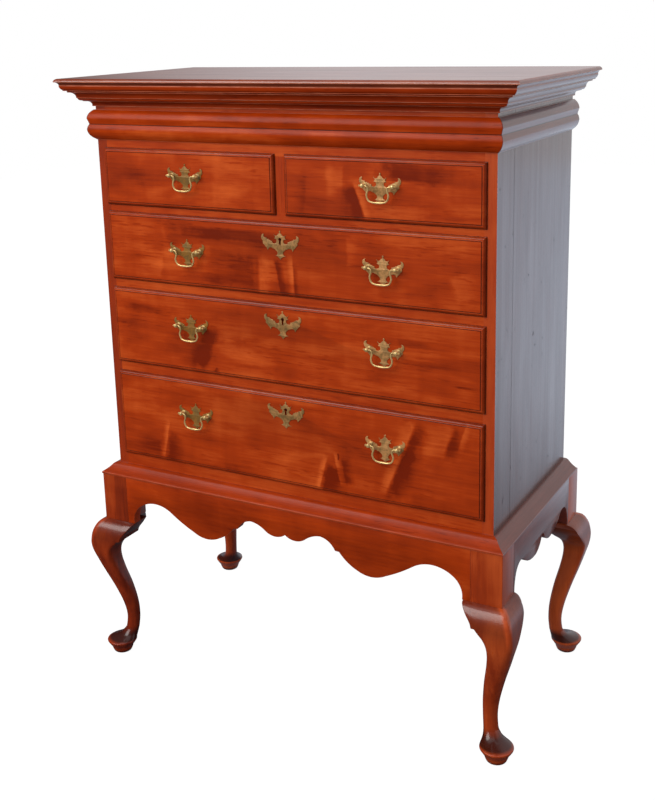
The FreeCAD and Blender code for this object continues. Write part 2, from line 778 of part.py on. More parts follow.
right_side = case_side()
save("side_right", right_side)
save("side_left", [flip_x(board) for board in right_side])
save("top_board", [top_board()])
save("bottom_board", [box(-inner_half, inner_half, rail_depth, back_inside,
                          case_bottom, case_bottom + bottom_thickness)])
save("back_boards", back_boards())
save("drawer_rails", rails())
save("drawer_divider", divider())
save("drawer_runners", runners())
save("cornice_front", [mitred_front(cornice_path)])
save("cornice_returns", mitred_returns(cornice_path))
save("frieze_returns", mitred_returns(frieze_path))
save("waist_front", [mitred_front(waist_path)])
save("waist_returns", mitred_returns(waist_path))

save("apron_front", [front_apron()])
save("side_aprons", both_sides(side_apron()))
save("apron_back", [box(-apron_half_span, apron_half_span, frame_back - apron_thickness, frame_back,
                        case_bottom - back_apron_drop, case_bottom)])
save("frame_bearers", bearers())
right_leg = leg()
save("leg_front_right", [right_leg])
save("leg_front_left", [flip_x(right_leg)])
save("leg_back_right", [flip_y(right_leg)])
save("leg_back_left", [flip_x(flip_y(right_leg))])
save("knee_blocks", knee_blocks(right_leg))

for drawer in (FRIEZE, *DRAWERS):
    save(drawer.name + "_front", [drawer_front(drawer)])
    save(drawer.name + "_box", drawer_box(drawer))
    save(drawer.name + "_bottom", [bottom_panel(drawer)])
    if drawer.pulls:
        save(drawer.name + "_brasses", brasses(drawer))
    for pull in drawer.pulls:
        hand = "_bail" if len(drawer.pulls) == 1 else ("_bail_left" if pull < 0 else "_bail_right")
        save(drawer.name + hand, [bail(pull, drawer.top - drawer.pull_drop)])
    if drawer.escutcheon_drop is not None:
        save(drawer.name + "_lock_case", [lock_case(drawer)])
        save(drawer.name + "_lock_bolt", [bolt(drawer)])
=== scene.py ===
import math

import bmesh
import bpy
import numpy as np
from mathutils import Matrix, Vector
from mathutils.geometry import tessellate_polygon


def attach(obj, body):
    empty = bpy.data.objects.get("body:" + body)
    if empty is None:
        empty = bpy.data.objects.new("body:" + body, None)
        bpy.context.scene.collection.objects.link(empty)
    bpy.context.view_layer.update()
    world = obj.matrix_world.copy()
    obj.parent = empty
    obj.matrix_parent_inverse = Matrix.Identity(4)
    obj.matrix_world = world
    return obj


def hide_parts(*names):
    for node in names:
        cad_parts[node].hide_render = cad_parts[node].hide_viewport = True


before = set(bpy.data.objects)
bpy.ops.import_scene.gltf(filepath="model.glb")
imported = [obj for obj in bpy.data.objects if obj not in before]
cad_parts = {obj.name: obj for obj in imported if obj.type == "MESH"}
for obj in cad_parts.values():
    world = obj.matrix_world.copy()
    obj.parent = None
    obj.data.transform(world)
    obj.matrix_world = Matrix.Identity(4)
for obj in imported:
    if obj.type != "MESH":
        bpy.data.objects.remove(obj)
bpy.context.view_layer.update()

# Lengths are millimetres from the case's front face, with X to the right, Y to the back, Z up.
MM = 0.001
CENTRING = -216.5          # the case's front face stands at this Y
HALF_CASE = 457.0
CASE_DEPTH = 451.0
CASE_BOTTOM = 455.0
CASE_TOP = 1341.0
GLUED_JOINT = 90.0         # in each side, behind its front
FRIEZE_BOTTOM = 1223.5
CORNICE_BOTTOM = 1295.0
FRAME_FRONT = -30.0
FRAME_HALF = 487.0
FRAME_MIDDLE = 217.0       # of the frame, front to back
APRON_SPAN = 421.0         # half the front apron
SIDE_APRON_SPAN = 181.0
APRON_THICKNESS = 22.0
APRON_EASE = 0.7           # off its arrises
LEG_HEIGHT = 345.0
POST_SIZE = 66.0
FACE_Y = -8.0              # faces of the drawer fronts
LIP_BACK = -0.3
BODY_BACK = 13.8           # a little inside the solid fronts, so that the tails and locks show
PLATE = 1.2                # thickness of the brass plates
HALF_BORING = 31.8         # half the distance between a pull's posts
HEAD_Y = -20.5             # pivots of the bails
HALF_FRONT = 437.5         # half the width of a long lipped front
HALF_DIVIDER = 12.0        # of the face that the small fronts leave clear between them
# Left, right, low and high edges of the lipped fronts.
FRONTS = {"small_left": (-HALF_FRONT, -HALF_DIVIDER, 1084.5, 1206.5),
          "small_right": (HALF_DIVIDER, HALF_FRONT, 1084.5, 1206.5),
          "upper_long": (-HALF_FRONT, HALF_FRONT, 918.5, 1068.5),
          "middle_long": (-HALF_FRONT, HALF_FRONT, 727.5, 898.5),
          "lower_long": (-HALF_FRONT, HALF_FRONT, 507, 705)}
# Heights of the middles of the keyholes.
LOCKED = {"upper_long": 1029.5, "middle_long": 862.5, "lower_long": 667.5}
# Height of a drawer's posts, and the middles of its pulls.
PULLS = {"small_left": (1155.5, (-225.5,)), "small_right": (1155.5, (225.5,)),
         "upper_long": (996.0, (-229.5, 229.5)), "middle_long": (831.0, (-229.5, 229.5)),
         "lower_long": (631.0, (-229.5, 229.5))}


# ---------------------------------------------------------------- drawing helpers
def arc(start, via, end, count=10):
    """Points on the circle through three points, without the first.

    The centre is as far from all three, and the turn from start to end is divided evenly.
    """
    (ax, ay), (bx, by), (cx, cy) = start, via, end
    a, b, c = ax**2 + ay**2, bx**2 + by**2, cx**2 + cy**2
    d = 2 * (ax * (by - cy) + bx * (cy - ay) + cx * (ay - by))
    ux = (a * (by - cy) + b * (cy - ay) + c * (ay - by)) / d
    uy = (a * (cx - bx) + b * (ax - cx) + c * (bx - ax)) / d
    radius = math.hypot(ax - ux, ay - uy)
    first, middle, last = (math.atan2(y - uy, x - ux) for x, y in (start, via, end))
    turn = (last - first) % (2 * math.pi)
    if (middle - first) % (2 * math.pi) > turn:
        turn -= 2 * math.pi
    angles = first + turn * np.arange(1, count + 1) / count
    return list(zip(ux + radius * np.cos(angles), uy + radius * np.sin(angles)))


def drawn(path, count=10):
    """A path's points; each entry after the first is a point, or an arc's way point and end together."""
    points = [path[0]]
    for step in path[1:]:
        points += arc(points[-1], step[:2], step[2:], count) if len(step) == 4 else [step]
    return points


def both_halves(half):
    """A right half's points from the middle out, with the left half before them."""
    return [(-a, b) for a, b in reversed(half[1:])] + half


def eased(points, radius):
    """Open outline with each corner of 25 degrees and more cut back and rounded by a short curve.

    It is cut back by the radius, or by two fifths of a shorter side.
    """
    result = [points[0]]
    for before, corner, after in zip(points, points[1:], points[2:]):
        a, b, c = (np.array(p, float) for p in (before, corner, after))
        into, out = (b - a), (c - b)
        long_in, long_out = np.linalg.norm(into), np.linalg.norm(out)
        turn = math.acos(np.clip(into @ out / (long_in * long_out), -1, 1))
        if turn < math.radians(25):
            result.append(corner)
            continue
        cut = min(radius, 0.4 * long_in, 0.4 * long_out)
        start, end = b - into / long_in * cut, b + out / long_out * cut
        result += [tuple(start), tuple(0.25 * start + 0.5 * b + 0.25 * end), tuple(end)]
    return result + [points[-1]]


def dense(points, step):
    """Outline with extra points, so that no two neighbours are further apart than the step."""
    result = [points[0]]
    for a, b in zip(points, points[1:]):
        count = max(1, math.ceil(math.dist(a, b) / step))
        result += [tuple(np.array(a) + (np.array(b) - a) * i / count) for i in range(1, count + 1)]
    return result


def edge_wear_and_light(points, reach=1.6):
    """Half, plus up to a half on arrises, for wear and a painted highlight, and less in hollows, for painted
    shade.

    The measure is the turn between the headings to the outline's points one reach before and
    one reach after, in sixths of a circle; the outline runs with its solid on the left.
    """
    rows = np.array(points, float)
    along = np.concatenate([[0], np.cumsum(np.linalg.norm(np.diff(rows, axis=0), axis=1))])

    def at(distance):
        return np.column_stack([np.interp(distance, along, rows[:, k]) for k in (0, 1)])

    into, out = rows - at(along - reach), at(along + reach) - rows
    cross = into[:, 0] * out[:, 1] - into[:, 1] * out[:, 0]
    turn = np.arctan2(cross, (into * out).sum(axis=1))
    return 0.5 + 0.5 * np.clip(turn / (math.pi / 3), -1, 1)


def smooth_line(points, count):
    """Catmull-Rom curve through rows of numbers, count steps to each span.

    Each span is a cubic, and its slope at a row is half the step between that row's neighbours.
    """
    rows = np.asarray(points, float)
    rows = np.vstack([2 * rows[0] - rows[1], rows, 2 * rows[-1] - rows[-2]])
    t = np.linspace(0, 1, count, endpoint=False)[:, None]
    spans = [0.5 * (2 * b + (c - a) * t + (2 * a - 5 * b + 4 * c - d) * t**2 + (3 * b - a - 3 * c + d) * t**3)
             for a, b, c, d in zip(rows, rows[1:], rows[2:], rows[3:])]
    return np.vstack(spans + [rows[-2:-1]])


def put(name, verts, faces, body, slot, material, sharp=35.0, wear_and_light=None, replaced=None):
    """Add a piece, smooth up to an angle, that rides on a body and may stand for a CAD node."""
    mesh = bpy.data.meshes.new(name)
    points = (np.asarray(verts, float) + (0, CENTRING, 0)) * MM
    mesh.from_pydata(points.tolist(), [], faces)
    bm = bmesh.new()
    bm.from_mesh(mesh)
    bmesh.ops.recalc_face_normals(bm, faces=bm.faces)
    bm.to_mesh(mesh)
    bm.free()
    wear_and_light = np.full(len(points), 0.5) if wear_and_light is None else wear_and_light
    mesh.attributes.new("wear_and_light", "FLOAT", "POINT").data.foreach_set("value", np.asarray(wear_and_light, np.float32))
    mesh.shade_smooth()
    mesh.set_sharp_from_angle(angle=math.radians(sharp))
    mesh.materials.append(material)
    piece = bpy.data.objects.new(name, mesh)
    bpy.context.scene.collection.objects.link(piece)
    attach(piece, body)
    if replaced:
        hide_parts(replaced)


def level_ring(outline, z):
    """Outline of (x, y) points laid level at a height."""
    return np.insert(np.array(outline, float), 2, z, axis=1)


def upright_ring(outline, y):
    """Outline of (x, z) points stood upright at a depth."""
    return np.insert(np.array(outline, float), 1, y, axis=1)


def grid_faces(rows, columns, start=0):
    """Quads of a grid of points stored row by row, closed round each row."""
    row, column = np.arange(rows - 1)[:, None] * columns + start, np.arange(columns)
    here, beside = row + column, row + (column + 1) % columns
    return np.stack([here, beside, beside + columns, here + columns], axis=-1).reshape(-1, 4).tolist()


def tube(rings):
    """Vertices and faces of a closed skin over rings of equally many points, with both ends filled."""
    count = len(rings[0])
    faces = grid_faces(len(rings), count)
    faces.append(list(range(count)))
    faces.append(list(range((len(rings) - 1) * count, len(rings) * count)))
    return np.vstack(rings), faces


def filled(verts, loops):
    """Triangles of the flat, upright face between loops, each given as its places in the vertices."""
    places = [place for loop in loops for place in loop]
    rows = [[Vector((verts[place][0], verts[place][2], 0)) for place in loop] for loop in loops]
    return [[places[corner] for corner in triangle] for triangle in tessellate_polygon(rows)]


def area(loop):
    """Area inside a loop, half the sum of its edges' cross products; less than 0 if it runs clockwise."""
    x, y = loop[:, 0], loop[:, 1]
    return 0.5 * (x @ np.roll(y, -1) - y @ np.roll(x, -1))


def inset(loop, distance):
    """Loop moved towards its left by a distance, square to the mean of the two edges at each point."""
    edge = np.roll(loop, -1, axis=0) - loop
    edge /= np.linalg.norm(edge, axis=1)[:, None]
    left = np.column_stack([-edge[:, 1], edge[:, 0]])
    mean = left + np.roll(left, 1, axis=0)
    share = np.maximum((mean * mean).sum(axis=1) / 2, 0.5)
    return loop + mean / share[:, None] * distance


def cut_sheet(outline, near, far, ease, hole=None):
    """Sheet cut to a closed outline, with both arrises eased and perhaps a hole.

    Near and far are the depths of its faces. Each loop runs with the sheet on its left, and stands
    at five depths from near to far, inset at the arrises. Gives vertices, faces, and values that
    pale the arrises as rubbing and a painted highlight.
    """
    step = math.copysign(ease, far - near)
    levels = [(near, ease, 0.5), (near + 0.3 * step, 0.3 * ease, 0.85), (near + step, 0, 0.7),
              (far - step, 0, 0.6), (far, ease, 0.5)]     # depth, inset, and rubbing with a painted highlight
    verts, faces, wear_and_light, near_rims, far_rims = np.empty((0, 3)), [], [], [], []
    for line, sense in ((outline, 1), (hole, -1)):
        if line is None:
            continue
        loop = np.array(line, float)
        if sense * area(loop) < 0:
            loop = loop[::-1]
        start, count = len(verts), len(loop)
        faces += grid_faces(len(levels), count, start)
        verts = np.vstack([verts] + [upright_ring(inset(loop, back), depth) for depth, back, worn_and_shaded in levels])
        wear_and_light += [worn_and_shaded for depth, back, worn_and_shaded in levels for point in loop]
        near_rims.append(range(start, start + count))
        far_rims.append(range(len(verts) - count, len(verts)))
    return verts, faces + filled(verts, near_rims) + filled(verts, far_rims), wear_and_light


# ---------------------------------------------------------------- material helpers
class Tree:
    """Adds nodes to a node tree; an input is a number, a colour, a vector or another node's socket."""

    def __init__(self, tree):
        self.tree = tree

    def feed(self, node, inputs):
        """Set or link a node's inputs, each given by its name or number."""
        for key, value in inputs.items():
            if isinstance(value, bpy.types.NodeSocket):
                self.tree.links.new(value, node.inputs[key])
            else:
                node.inputs[key].default_value = value

    def add(self, kind, inputs=None, **settings):
        """New node with its settings and its inputs."""
        node = self.tree.nodes.new(kind)
        for key, value in settings.items():
            setattr(node, key, value)
        self.feed(node, inputs or {})
        return node

    def group(self, group, inputs):
        """Outputs of a node group placed here with its own inputs."""
        return self.add("ShaderNodeGroup", inputs, node_tree=group).outputs

    def parts(self, vector):
        """A vector's X, Y and Z."""
        return self.add("ShaderNodeSeparateXYZ", {0: vector}).outputs

    def math(self, operation, a, b=0.0, c=0.0, clamp=False):
        """Result of one operation on up to three values."""
        return self.add("ShaderNodeMath", {0: a, 1: b, 2: c}, operation=operation, use_clamp=clamp).outputs[0]

    def plus(self, total, *pairs):
        """Total, plus each value times its weight."""
        for value, weight in pairs:
            total = self.math("MULTIPLY_ADD", value, weight, total)
        return total

    def plus_noises(self, total, *pairs):
        """Total, plus each noise less its mean of a half, times its weight."""
        return self.plus(total, *((self.math("SUBTRACT", noise, 0.5), weight) for noise, weight in pairs))

    def mapped(self, vector, kind="POINT", **inputs):
        """Vector scaled, turned and moved; TEXTURE undoes a move, a turn and a scale instead."""
        return self.add("ShaderNodeMapping", {"Vector": vector, **inputs}, vector_type=kind).outputs[0]

    def noise(self, vector, scale, detail=2.0, roughness=0.5, distortion=0.0, shift=(0, 0, 0)):
        """Noise with one scale, or one along each axis."""
        scales = scale if isinstance(scale, tuple) else (scale, scale, scale)
        place = self.mapped(vector, Scale=scales, Location=shift)
        node = self.add("ShaderNodeTexNoise", {"Vector": place, "Scale": 1.0, "Detail": detail,
                                               "Roughness": roughness, "Distortion": distortion})
        return node.outputs["Fac"]

    def span(self, value, low, high, to_low=0.0, to_high=1.0, smooth=False):
        """Value carried from one range to another and held at its ends, in a line or an S-curve."""
        return self.add("ShaderNodeMapRange", {"Value": value, "From Min": low, "From Max": high,
                                               "To Min": to_low, "To Max": to_high},
                        interpolation_type="SMOOTHSTEP" if smooth else "LINEAR").outputs[0]

    def mix(self, factor, a, b):
        """Colour a where the factor is 0, and b where it is 1."""
        return self.add("ShaderNodeMix", {0: factor, 6: a, 7: b}, data_type="RGBA").outputs[2]

    def bump(self, strength, distance, height, **inputs):
        """Normal of a relief."""
        return self.add("ShaderNodeBump", {"Strength": strength, "Distance": distance, "Height": height,
                                           **inputs}).outputs[0]


def new_group(name, inputs, outputs):
    """Node group with sockets of the given kinds; returns it, its Tree, its inputs and its output node."""
    group = bpy.data.node_groups.new(name, "ShaderNodeTree")
    for direction, sockets in (("INPUT", inputs), ("OUTPUT", outputs)):
        for label, kind in sockets.items():
            group.interface.new_socket(label, in_out=direction, socket_type="NodeSocket" + kind)
    t = Tree(group)
    return group, t, t.add("NodeGroupInput").outputs, t.add("NodeGroupOutput")


def new_material(name):
    """Material; returns it, its Tree, its shader and its Object coordinates."""
    material = bpy.data.materials.new(name)
    material.use_nodes = True
    t = Tree(material.node_tree)
    return material, t, t.tree.nodes["Principled BSDF"], t.add("ShaderNodeTexCoord").outputs["Object"]


def rgb(red, green, blue):
    """Linear colour of three screen values from 0 to 255."""
    return tuple((c / 255 / 12.92 if c <= 10 else ((c / 255 + 0.055) / 1.055) ** 2.4)
                 for c in (red, green, blue)) + (1.0,)


# ---------------------------------------------------------------- wood
# Each stain is its dark, middle and light colours.
FRONT_STAIN = rgb(114, 28, 0), rgb(162, 52, 4), rgb(208, 92, 34)
# The side, return and side apron stains are the front's made darker: painted shade on the case's sides.
SHADED_SIDE_STAIN = rgb(56, 20, 12), rgb(84, 33, 22), rgb(112, 54, 38)
TOP_STAIN = rgb(84, 26, 8), rgb(124, 48, 20), rgb(160, 80, 44)
SHADED_RETURN_STAIN = rgb(70, 22, 12), rgb(112, 44, 26), rgb(150, 74, 52)
SHADED_SIDE_APRON_STAIN = rgb(70, 20, 12), rgb(110, 40, 26), rgb(146, 72, 52)
LEG_STAIN = rgb(96, 22, 2), rgb(150, 50, 10), rgb(194, 84, 34)
BARE_PINE = rgb(150, 105, 60), rgb(188, 142, 90), rgb(214, 176, 124)
AGED_PINE = rgb(120, 84, 50), rgb(160, 118, 74), rgb(188, 150, 104)
# The pale colour is rubbed wood and a painted highlight; the dark one is grime and painted shade.
RUBBED_AND_HIGHLIGHT = rgb(214, 128, 98)
GRIME_AND_SHADE = rgb(52, 12, 4)
ALONG = {"X": (0, 0, 0), "Y": (0, 0, -math.pi / 2), "Z": (0, math.pi / 2, 0)}


def wood_group():
    """Stained hardwood: clouds, soft bars across the grain, streaks, fibres and pores.

    The first coordinate runs along the grain. Tone is half, plus each noise less its mean times a
    weight, and it picks the colour between the dark, middle and light stains.
    """
    group, t, given, out = new_group(
        "Stained hardwood", {"Vector": "Vector", "Dark": "Color", "Middle": "Color", "Light": "Color",
                             "Blotch": "Float", "Streak": "Float", "Shift": "Float"},
        {"Color": "Color", "Roughness": "Float", "Normal": "Vector"})
    place = given["Vector"]
    cloud = t.noise(place, (2.4, 9, 9), 3.0, 0.55, 0.8)
    patch = t.noise(place, (9, 30, 30), 2.0, 0.5, 0.6, (4, 2, 7))
    bar = t.noise(place, (24, 4, 4), 2.0, 0.45, 0.5, (3, 1, 5))
    streak = t.noise(place, (6, 200, 200), 4.0, 0.6)
    line = t.span(t.noise(place, (3, 75, 75), 2.0, 0.5, 0.2, (6, 3, 2)), 0.60, 0.72)
    dash = t.span(t.noise(place, (26, 260, 260), 2.0, 0.5, 0.3, (2, 9, 4)), 0.58, 0.70)
    dash = t.math("MULTIPLY", dash, t.span(t.noise(place, (6, 20, 20), 2.0, 0.5, 0.0, (8, 1, 6)), 0.42, 0.62))
    fibre = t.noise(place, (26, 700, 700), 3.0, 0.6, 0.0, (1, 7, 3))
    pore = t.span(t.noise(place, (70, 1300, 1300), 1.0, 0.5, 0.0, (4, 4, 9)), 0.66, 0.74)
    soft = t.plus_noises(0.0, (cloud, 1.0), (patch, 0.52), (bar, 0.30))
    lines = t.plus_noises(0.0, (streak, 0.58), (fibre, 0.32))
    lines = t.plus(lines, (line, -0.16), (dash, -0.32), (pore, -0.10))
    tone = t.plus(given["Shift"], (soft, given["Blotch"]), (lines, given["Streak"]))
    tone = t.math("ADD", tone, 0.5, clamp=True)
    darker = t.mix(t.span(tone, 0.1, 0.5), given["Dark"], given["Middle"])
    t.feed(out, {"Color": t.mix(t.span(tone, 0.5, 0.95), darker, given["Light"]),
                 "Roughness": t.span(t.math("ADD", streak, cloud), 0.6, 1.4, 0.36, 0.26),
                 "Normal": t.bump(0.16, 0.0004, t.plus(0.0, (streak, 0.6), (fibre, 0.3), (pore, -0.5)))})
    return group


def flame_group():
    """Mark with one crisp edge that fades away from it.

    The edge stands where the first coordinate is 0 and the mark fades out by 1; it ends softly
    where the third coordinate reaches 1 either way. A slow noise makes the edge waver.
    """
    group, t, given, out = new_group("Flame in the figure", {"Vector": "Vector", "Place": "Vector"},
                                     {"Mask": "Float"})
    parts = t.parts(given["Vector"])
    waver = t.noise(given["Place"], 55, 2.0, 0.5, 0.3)
    across = t.plus_noises(parts["X"], (waver, 0.35))
    upright = t.plus_noises(t.math("ABSOLUTE", parts["Z"]), (waver, 0.5))
    rise = t.span(across, -0.12, 0.12, smooth=True)
    fall = t.span(across, 0.12, 1.0, 1.0, 0.0, smooth=True)
    tall = t.span(upright, 0.5, 1.0, 1.0, 0.0, smooth=True)
    t.feed(out, {"Mask": t.math("MULTIPLY", t.math("MULTIPLY", rise, fall), tall)})
    return group


def gap_shadow_group():
    """Painted shadow along the outside of the five lipped fronts, widest below them and to their right.

    How far a point is outside a front is the most of its four distances past the edges, and the
    mask fades out over a width that a noise sets, around the nearest front.
    """
    group, t, given, out = new_group("Painted shadow beside the fronts", {"Place": "Vector"}, {"Mask": "Float"})
    parts = t.parts(given["Place"])
    x, z = parts["X"], parts["Z"]
    beyond = 1.0               # how much further out it stands below and on the right
    nearest = 1.0
    for left, right, low, high in FRONTS.values():
        outside = -1.0
        for a, b in ((left * MM, x), (x, (right + beyond) * MM), ((low - beyond) * MM, z), (z, high * MM)):
            outside = t.math("MAXIMUM", outside, t.math("SUBTRACT", a, b))
        nearest = t.math("MINIMUM", nearest, outside)
    width = t.span(t.noise(given["Place"], 90), 0.3, 0.7, 1.2 * MM, 2.4 * MM)
    t.feed(out, {"Mask": t.span(t.math("DIVIDE", nearest, width), 0.0, 1.0, 1.0, 0.0, smooth=True)})
    return group


def side_group():
    """Side of the case: its glued joint, waves along the grain, dents and smears in the polish.

    The joint is a line at one depth. It and the dents are dull and dark; the dents keep off the
    front edge, where Face is 1.
    """
    group, t, given, out = new_group(
        "Glued side", {"Place": "Vector", "Along": "Vector", "Face": "Float", "Color": "Color",
                       "Normal": "Vector"},
        {"Color": "Color", "Normal": "Vector", "Coat": "Float"})
    line = t.math("SUBTRACT", t.parts(given["Place"])["Y"], (GLUED_JOINT + CENTRING) * MM)
    line = t.span(t.math("ABSOLUTE", line), 0.4 * MM, 2.4 * MM, 1.0, 0.0, smooth=True)
    waves = t.noise(given["Along"], (0.8, 22, 22), 2.0, 0.5, 0.0, (5, 5, 1))
    dent = t.span(t.noise(given["Place"], 75, 1.0, 0.5, 0.2), 0.74, 0.77)
    dent = t.math("MULTIPLY", dent, t.math("SUBTRACT", 1.0, given["Face"]))
    dull = t.math("MAXIMUM", t.math("MULTIPLY", line, 0.55), dent)
    smear = t.span(t.noise(given["Along"], (3, 14, 14), 3.0, 0.6, 0.5, (2, 2, 8)), 0.35, 0.65, 0.78, 1.0)
    t.feed(out, {"Color": t.mix(t.math("MULTIPLY", dull, 0.9), given["Color"], GRIME_AND_SHADE),
                 "Normal": t.bump(0.6, 0.003, t.plus(waves, (line, -0.5)), Normal=given["Normal"]),
                 "Coat": t.math("MULTIPLY", smear, t.math("SUBTRACT", 1.0, dull))})
    return group


def wear_and_light_group():
    """Stain turned pale in patches where the value is high, as wear and a painted highlight, and darkened
    towards grime where it is low, as painted shade.
    """
    group, t, given, out = new_group("Worn edges with painted light and shade", {"Place": "Vector", "Wear and light": "Float", "Color": "Color"},
                                     {"Color": "Color"})
    patchy = t.span(t.noise(given["Place"], 40, 3.0, 0.6), 0.3, 0.7, 0.3, 0.9)
    rubbed_and_highlit = t.math("MULTIPLY", t.span(given["Wear and light"], 0.68, 0.98), patchy)
    colour = t.mix(rubbed_and_highlit, given["Color"], RUBBED_AND_HIGHLIGHT)
    t.feed(out, {"Color": t.mix(t.span(given["Wear and light"], 0.47, 0.2, 0.0, 0.95), colour, GRIME_AND_SHADE)})
    return group


WOOD, FLAME, GAP_SHADOW, SIDE, WEAR_AND_LIGHT = wood_group(), flame_group(), gap_shadow_group(), side_group(), wear_and_light_group()


def wood(name, grain, offset, stain=FRONT_STAIN, blotch=1.0, streak=1.0, shift=0.0, coat=0.12, gloss=0.25,
         worn_and_shaded=True, flames=(), stile=None, joints=False, boards=0.0):
    """Stained wood with its grain along one axis; each board has its own offset in the pattern.

    A flame is (x, z, reach from its crisp edge, half height, lean in degrees, amount of tone). A
    side with a stile shows the fronts' stain on its front edge, lighter or darker by the stile's
    tone, which paints light on the right side's stile and shade on the left one, and the glued
    joint behind it, and its polish comes from the side's own group. Upright boards of a width, side
    by side from the middle, differ in tone and have a dark joint between each two.
    """
    material, t, shader, place = new_material(name)
    along = t.mapped(place, Rotation=ALONG[grain], Location=offset)
    for x, z, reach, half, lean, amount in flames:
        mark = t.mapped(place, "TEXTURE", Location=(x * MM, 0, z * MM), Rotation=(0, math.radians(lean), 0),
                        Scale=(reach * MM, 1, half * MM))
        shift = t.plus(shift, (t.group(FLAME, {"Vector": mark, "Place": place})["Mask"], amount))
    if boards:
        # The golden section's multiples spread the boards' tones evenly.
        across = t.parts(place)["X"]
        number = t.math("ADD", t.math("FLOOR", t.math("DIVIDE", across, boards * MM)), 5.3)
        shift = t.span(t.math("FRACT", t.math("MULTIPLY", number, 0.618)), 0, 1, -0.16, 0.16)
    if stile is not None:
        face = t.span(t.parts(place)["Y"], (CENTRING + 0.3) * MM, (CENTRING + 0.1) * MM)
        stain = [t.mix(face, own, front) for own, front in zip(stain, FRONT_STAIN)]
        shift = t.math("MULTIPLY", face, stile)
    figure = t.group(WOOD, {"Vector": along, "Dark": stain[0], "Middle": stain[1], "Light": stain[2],
                            "Blotch": blotch, "Streak": streak, "Shift": shift})
    colour, normal = figure["Color"], figure["Normal"]
    # Painted shadow beside the fronts, below them and to their right.
    if joints:
        gap_shadow = t.group(GAP_SHADOW, {"Place": place})["Mask"]
        colour = t.mix(t.math("MULTIPLY", gap_shadow, 0.85), colour, GRIME_AND_SHADE)
    if boards:
        joint = t.span(t.math("PINGPONG", across, boards * MM / 2), 0.4 * MM, 1.4 * MM, 0.85, 0.0)
        colour = t.mix(joint, colour, GRIME_AND_SHADE)
    if stile is not None:
        side = t.group(SIDE, {"Place": place, "Along": along, "Face": face, "Color": colour,
                              "Normal": normal})
        colour, normal, coat = side["Color"], side["Normal"], side["Coat"]
    # Arrises are paled as wear and a painted highlight; hollows, recesses and the legs' shaded parts are
    # darkened with painted shade.
    if worn_and_shaded:
        edge = t.add("ShaderNodeAttribute", attribute_name="wear_and_light").outputs["Fac"]
        colour = t.group(WEAR_AND_LIGHT, {"Place": place, "Wear and light": edge, "Color": colour})["Color"]
    t.feed(shader, {"Base Color": colour, "Roughness": figure["Roughness"], "Normal": normal,
                    "Specular IOR Level": gloss, "Coat Weight": coat, "Coat Roughness": 0.16})
    return material


# ---------------------------------------------------------------- brass and iron
def tarnish_group():
    """Aged brass: bright where handled, with olive-brown tarnish in soft patches and specks."""
    group, t, given, out = new_group("Tarnish", {"Place": "Vector", "Tint": "Color", "Patina": "Float"},
                                     {"Color": "Color", "Roughness": "Float", "Normal": "Vector"})
    place = given["Place"]
    cloud = t.noise(place, 90, 3.0, 0.55, 0.6)
    fine = t.noise(place, 520, 3.0, 0.6)
    speck = t.span(t.noise(place, 900, 1.0), 0.66, 0.74)
    dents = t.noise(place, 160, 2.0, 0.5, 0.3)
    tarnish = t.span(t.plus(cloud, (fine, 0.35)), 0.55, 0.80, 0.0, given["Patina"])
    colour = t.mix(tarnish, given["Tint"], rgb(116, 92, 50))
    t.feed(out, {"Color": t.mix(t.math("MULTIPLY", speck, 0.6), colour, rgb(62, 44, 26)),
                 "Roughness": t.span(tarnish, 0.0, 1.0, 0.30, 0.55),
                 "Normal": t.bump(0.3, 0.0006, t.plus(dents, (fine, 0.3)))})
    return group


TARNISH = tarnish_group()


def brass(name, tint, patina, metal):
    """Brass of a tint, with its own amount of tarnish."""
    material, t, shader, place = new_material(name)
    aged = t.group(TARNISH, {"Place": place, "Tint": tint, "Patina": patina})
    t.feed(shader, {"Base Color": aged["Color"], "Roughness": aged["Roughness"], "Normal": aged["Normal"],
                    "Metallic": metal})
    return material


def iron(name):
    """Lock iron: grey, with brown rust in patches."""
    material, t, shader, place = new_material(name)
    rust = t.noise(place, 90, 5.0, 0.65)
    t.feed(shader, {"Base Color": t.mix(t.span(rust, 0.45, 0.7), rgb(70, 66, 62), rgb(96, 58, 36)),
                    "Roughness": t.span(rust, 0.3, 0.7, 0.35, 0.7), "Metallic": 0.9})
    return material


PLATE_BRASS = brass("aged brass plate", rgb(208, 154, 98), patina=0.7, metal=0.3)
OLIVE_BRASS = brass("olive brass plate", rgb(158, 112, 52), patina=0.75, metal=0.3)
SHIELD_BRASS = brass("tarnished brass plate", rgb(186, 136, 84), patina=0.85, metal=0.3)
CAST_BRASS = brass("handled brass", rgb(240, 206, 140), patina=0.4, metal=0.5)
IRON = iron("lock iron")

